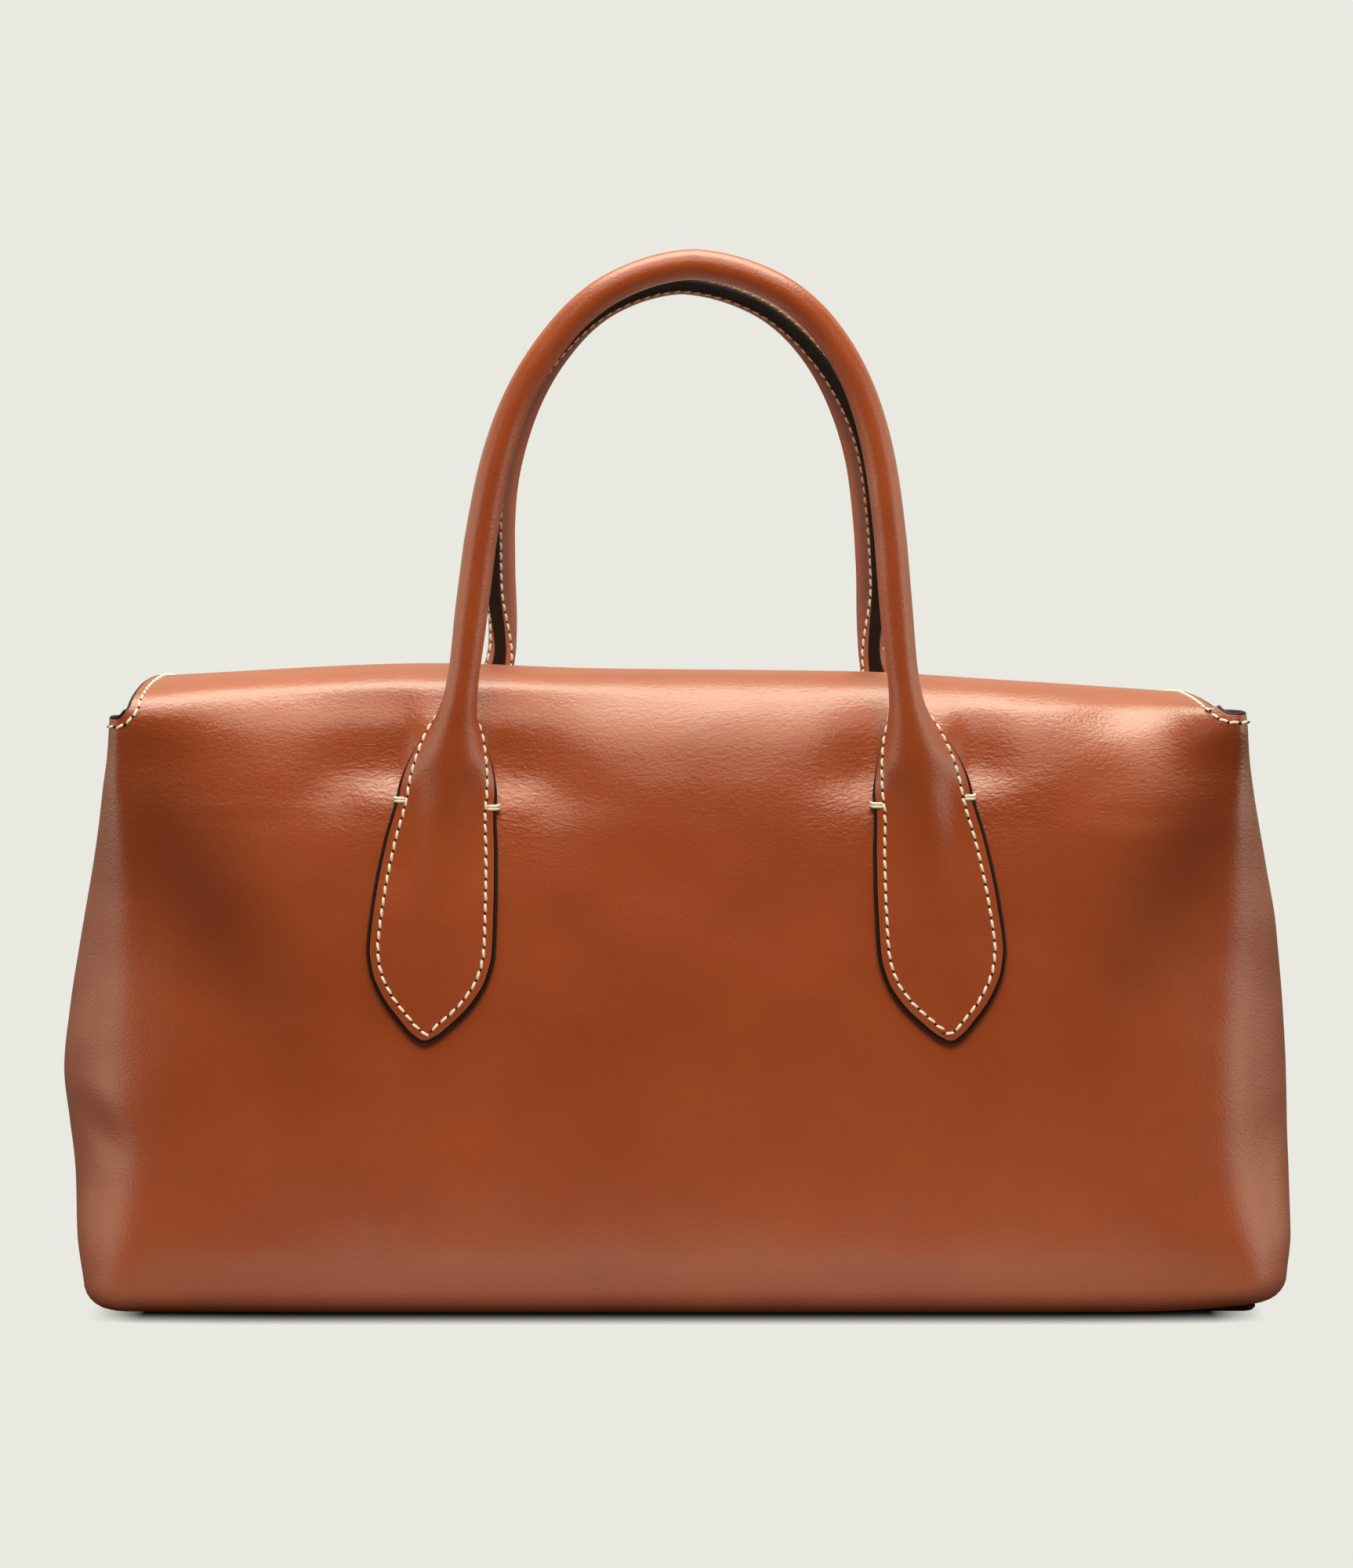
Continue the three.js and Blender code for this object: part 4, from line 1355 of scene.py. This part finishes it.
def make_camera():
    """The photo's camera: level sideways, tilted a little down."""
    lens = bpy.data.cameras.new("camera")
    lens.sensor_width = SENSOR
    lens.lens = FOCAL_PIXELS / IMAGE_HEIGHT * SENSOR
    lens.clip_end = CAMERA_REACH * MM
    camera = bpy.data.objects.new("camera", lens)
    camera.location = [c * MM for c in CAMERA_PLACE]
    camera.rotation_euler = (math.radians(90 - CAMERA_TILT), 0, 0)
    bpy.context.scene.collection.objects.link(camera)
    bpy.context.scene.camera = camera


def make_light(name, place, target, size, power, mirrored):
    """A rectangular softbox that faces a target."""
    lamp = bpy.data.lights.new(name, "AREA")
    lamp.shape = "RECTANGLE"
    lamp.size, lamp.size_y = (side * MM for side in size)
    lamp.energy = power
    lamp.color = tone(LAMP_COLOUR)[:3]
    light = bpy.data.objects.new(name, lamp)
    light.location = Vector(place) * MM
    light.visible_glossy = mirrored
    way = Vector(target) - Vector(place)
    light.rotation_euler = way.to_track_quat("-Z", "Y").to_euler()
    bpy.context.scene.collection.objects.link(light)


def make_floor():
    """A pale floor that keeps one tone, with a painted contact shadow where the bag meets it."""
    material, tree = new_material("pale_paper_floor")
    ray = add(tree, "ShaderNodeLightPath")
    reach = add(tree, "ShaderNodeMath", {
        0: ray.outputs["Is Camera Ray"], 1: (CONTACT_SEEN - CONTACT_LIT) * MM, 2: CONTACT_LIT * MM,
    }, operation="MULTIPLY_ADD")
    contact = add(tree, "ShaderNodeAmbientOcclusion", {"Distance": reach.outputs[0]}, samples=CONTACT_SAMPLES)
    shade = add(tree, "ShaderNodeMath", {0: contact.outputs["AO"], 1: CONTACT_POWER}, operation="POWER")
    place = add(tree, "ShaderNodeTexCoord").outputs["Object"]
    split = add(tree, "ShaderNodeSeparateXYZ", {"Vector": place})
    aside = add(tree, "ShaderNodeMath", {0: split.outputs["X"]}, operation="ABSOLUTE")
    past = add(tree, "ShaderNodeMapRange", {
        "Value": aside.outputs[0], "From Min": CONTACT_HALF[0] * MM, "From Max": CONTACT_HALF[1] * MM})
    under = add(tree, "ShaderNodeMix", {
        "Factor": past.outputs[0], 2: shade.outputs[0], 3: 1.0}, data_type="FLOAT")
    seen = add(tree, "ShaderNodeEmission", {"Color": tone(BACKGROUND), "Strength": under.outputs[0]})
    bounce = add(tree, "ShaderNodeMix", {
        "Factor": ray.outputs["Is Diffuse Ray"], 2: BOUNCE_GLOSS, 3: BOUNCE_SOFT}, data_type="FLOAT")
    glow = add(tree, "ShaderNodeMapRange", {
        "Value": aside.outputs[0], "From Min": GLOW_HALF[0] * MM, "From Max": GLOW_HALF[1] * MM,
        "To Min": 1.0, "To Max": GLOW_ASIDE})
    level = add(tree, "ShaderNodeMath", {0: glow.outputs[0], 1: bounce.outputs[0]}, operation="MULTIPLY")
    strength = add(tree, "ShaderNodeMath", {0: shade.outputs[0], 1: level.outputs[0]}, operation="MULTIPLY")
    lit = add(tree, "ShaderNodeEmission", {"Color": tone(BOUNCE_COLOUR), "Strength": strength.outputs[0]})
    mix = add(tree, "ShaderNodeMixShader", {
        0: ray.outputs["Is Camera Ray"], 1: lit.outputs[0], 2: seen.outputs[0]})
    add(tree, "ShaderNodeOutputMaterial", {"Surface": mix.outputs[0]})
    near = [(-FLOOR_SIDE, FLOOR_FRONT, 0), (FLOOR_SIDE, FLOOR_FRONT, 0)]
    corners = near + [(FLOOR_SIDE, FLOOR_BACK, 0), (-FLOOR_SIDE, FLOOR_BACK, 0)]
    floor = make_piece("floor", corners, [(0, 1, 2, 3)], (material,))


def make_world():
    """A studio of one pale tone to the eye, dimmer as light on the bag."""
    world = bpy.data.worlds.new("studio")
    bpy.context.scene.world = world
    world.use_nodes = True
    tree = world.node_tree
    tree.nodes.clear()
    seen = add(tree, "ShaderNodeBackground", {"Color": tone(BACKGROUND), "Strength": 1.0})
    way = add(tree, "ShaderNodeTexCoord").outputs["Generated"]
    split = add(tree, "ShaderNodeSeparateXYZ", {"Vector": way})
    depth = add(tree, "ShaderNodeMapRange", {
        "Value": split.outputs["Y"], "From Min": BACKDROP_Y[0], "From Max": BACKDROP_Y[1],
        "To Min": BACKDROP_LIGHT[0], "To Max": BACKDROP_LIGHT[1]})
    fill = add(tree, "ShaderNodeBackground", {"Color": tone(BACKDROP_GLOW), "Strength": depth.outputs[0]})
    ray = add(tree, "ShaderNodeLightPath")
    mix = add(tree, "ShaderNodeMixShader", {
        0: ray.outputs["Is Camera Ray"], 1: fill.outputs[0], 2: seen.outputs[0]})
    add(tree, "ShaderNodeOutputWorld", {"Surface": mix.outputs[0]})


make_panel("front_panel", False)
make_panel("back_panel", True)
make_handle("handle_front", False)
make_handle("handle_back", True)
make_base("base_panel")

make_camera()
make_floor()
make_world()
for light in LIGHTS:
    make_light(*light)
bpy.context.scene.view_settings.view_transform = "Standard"
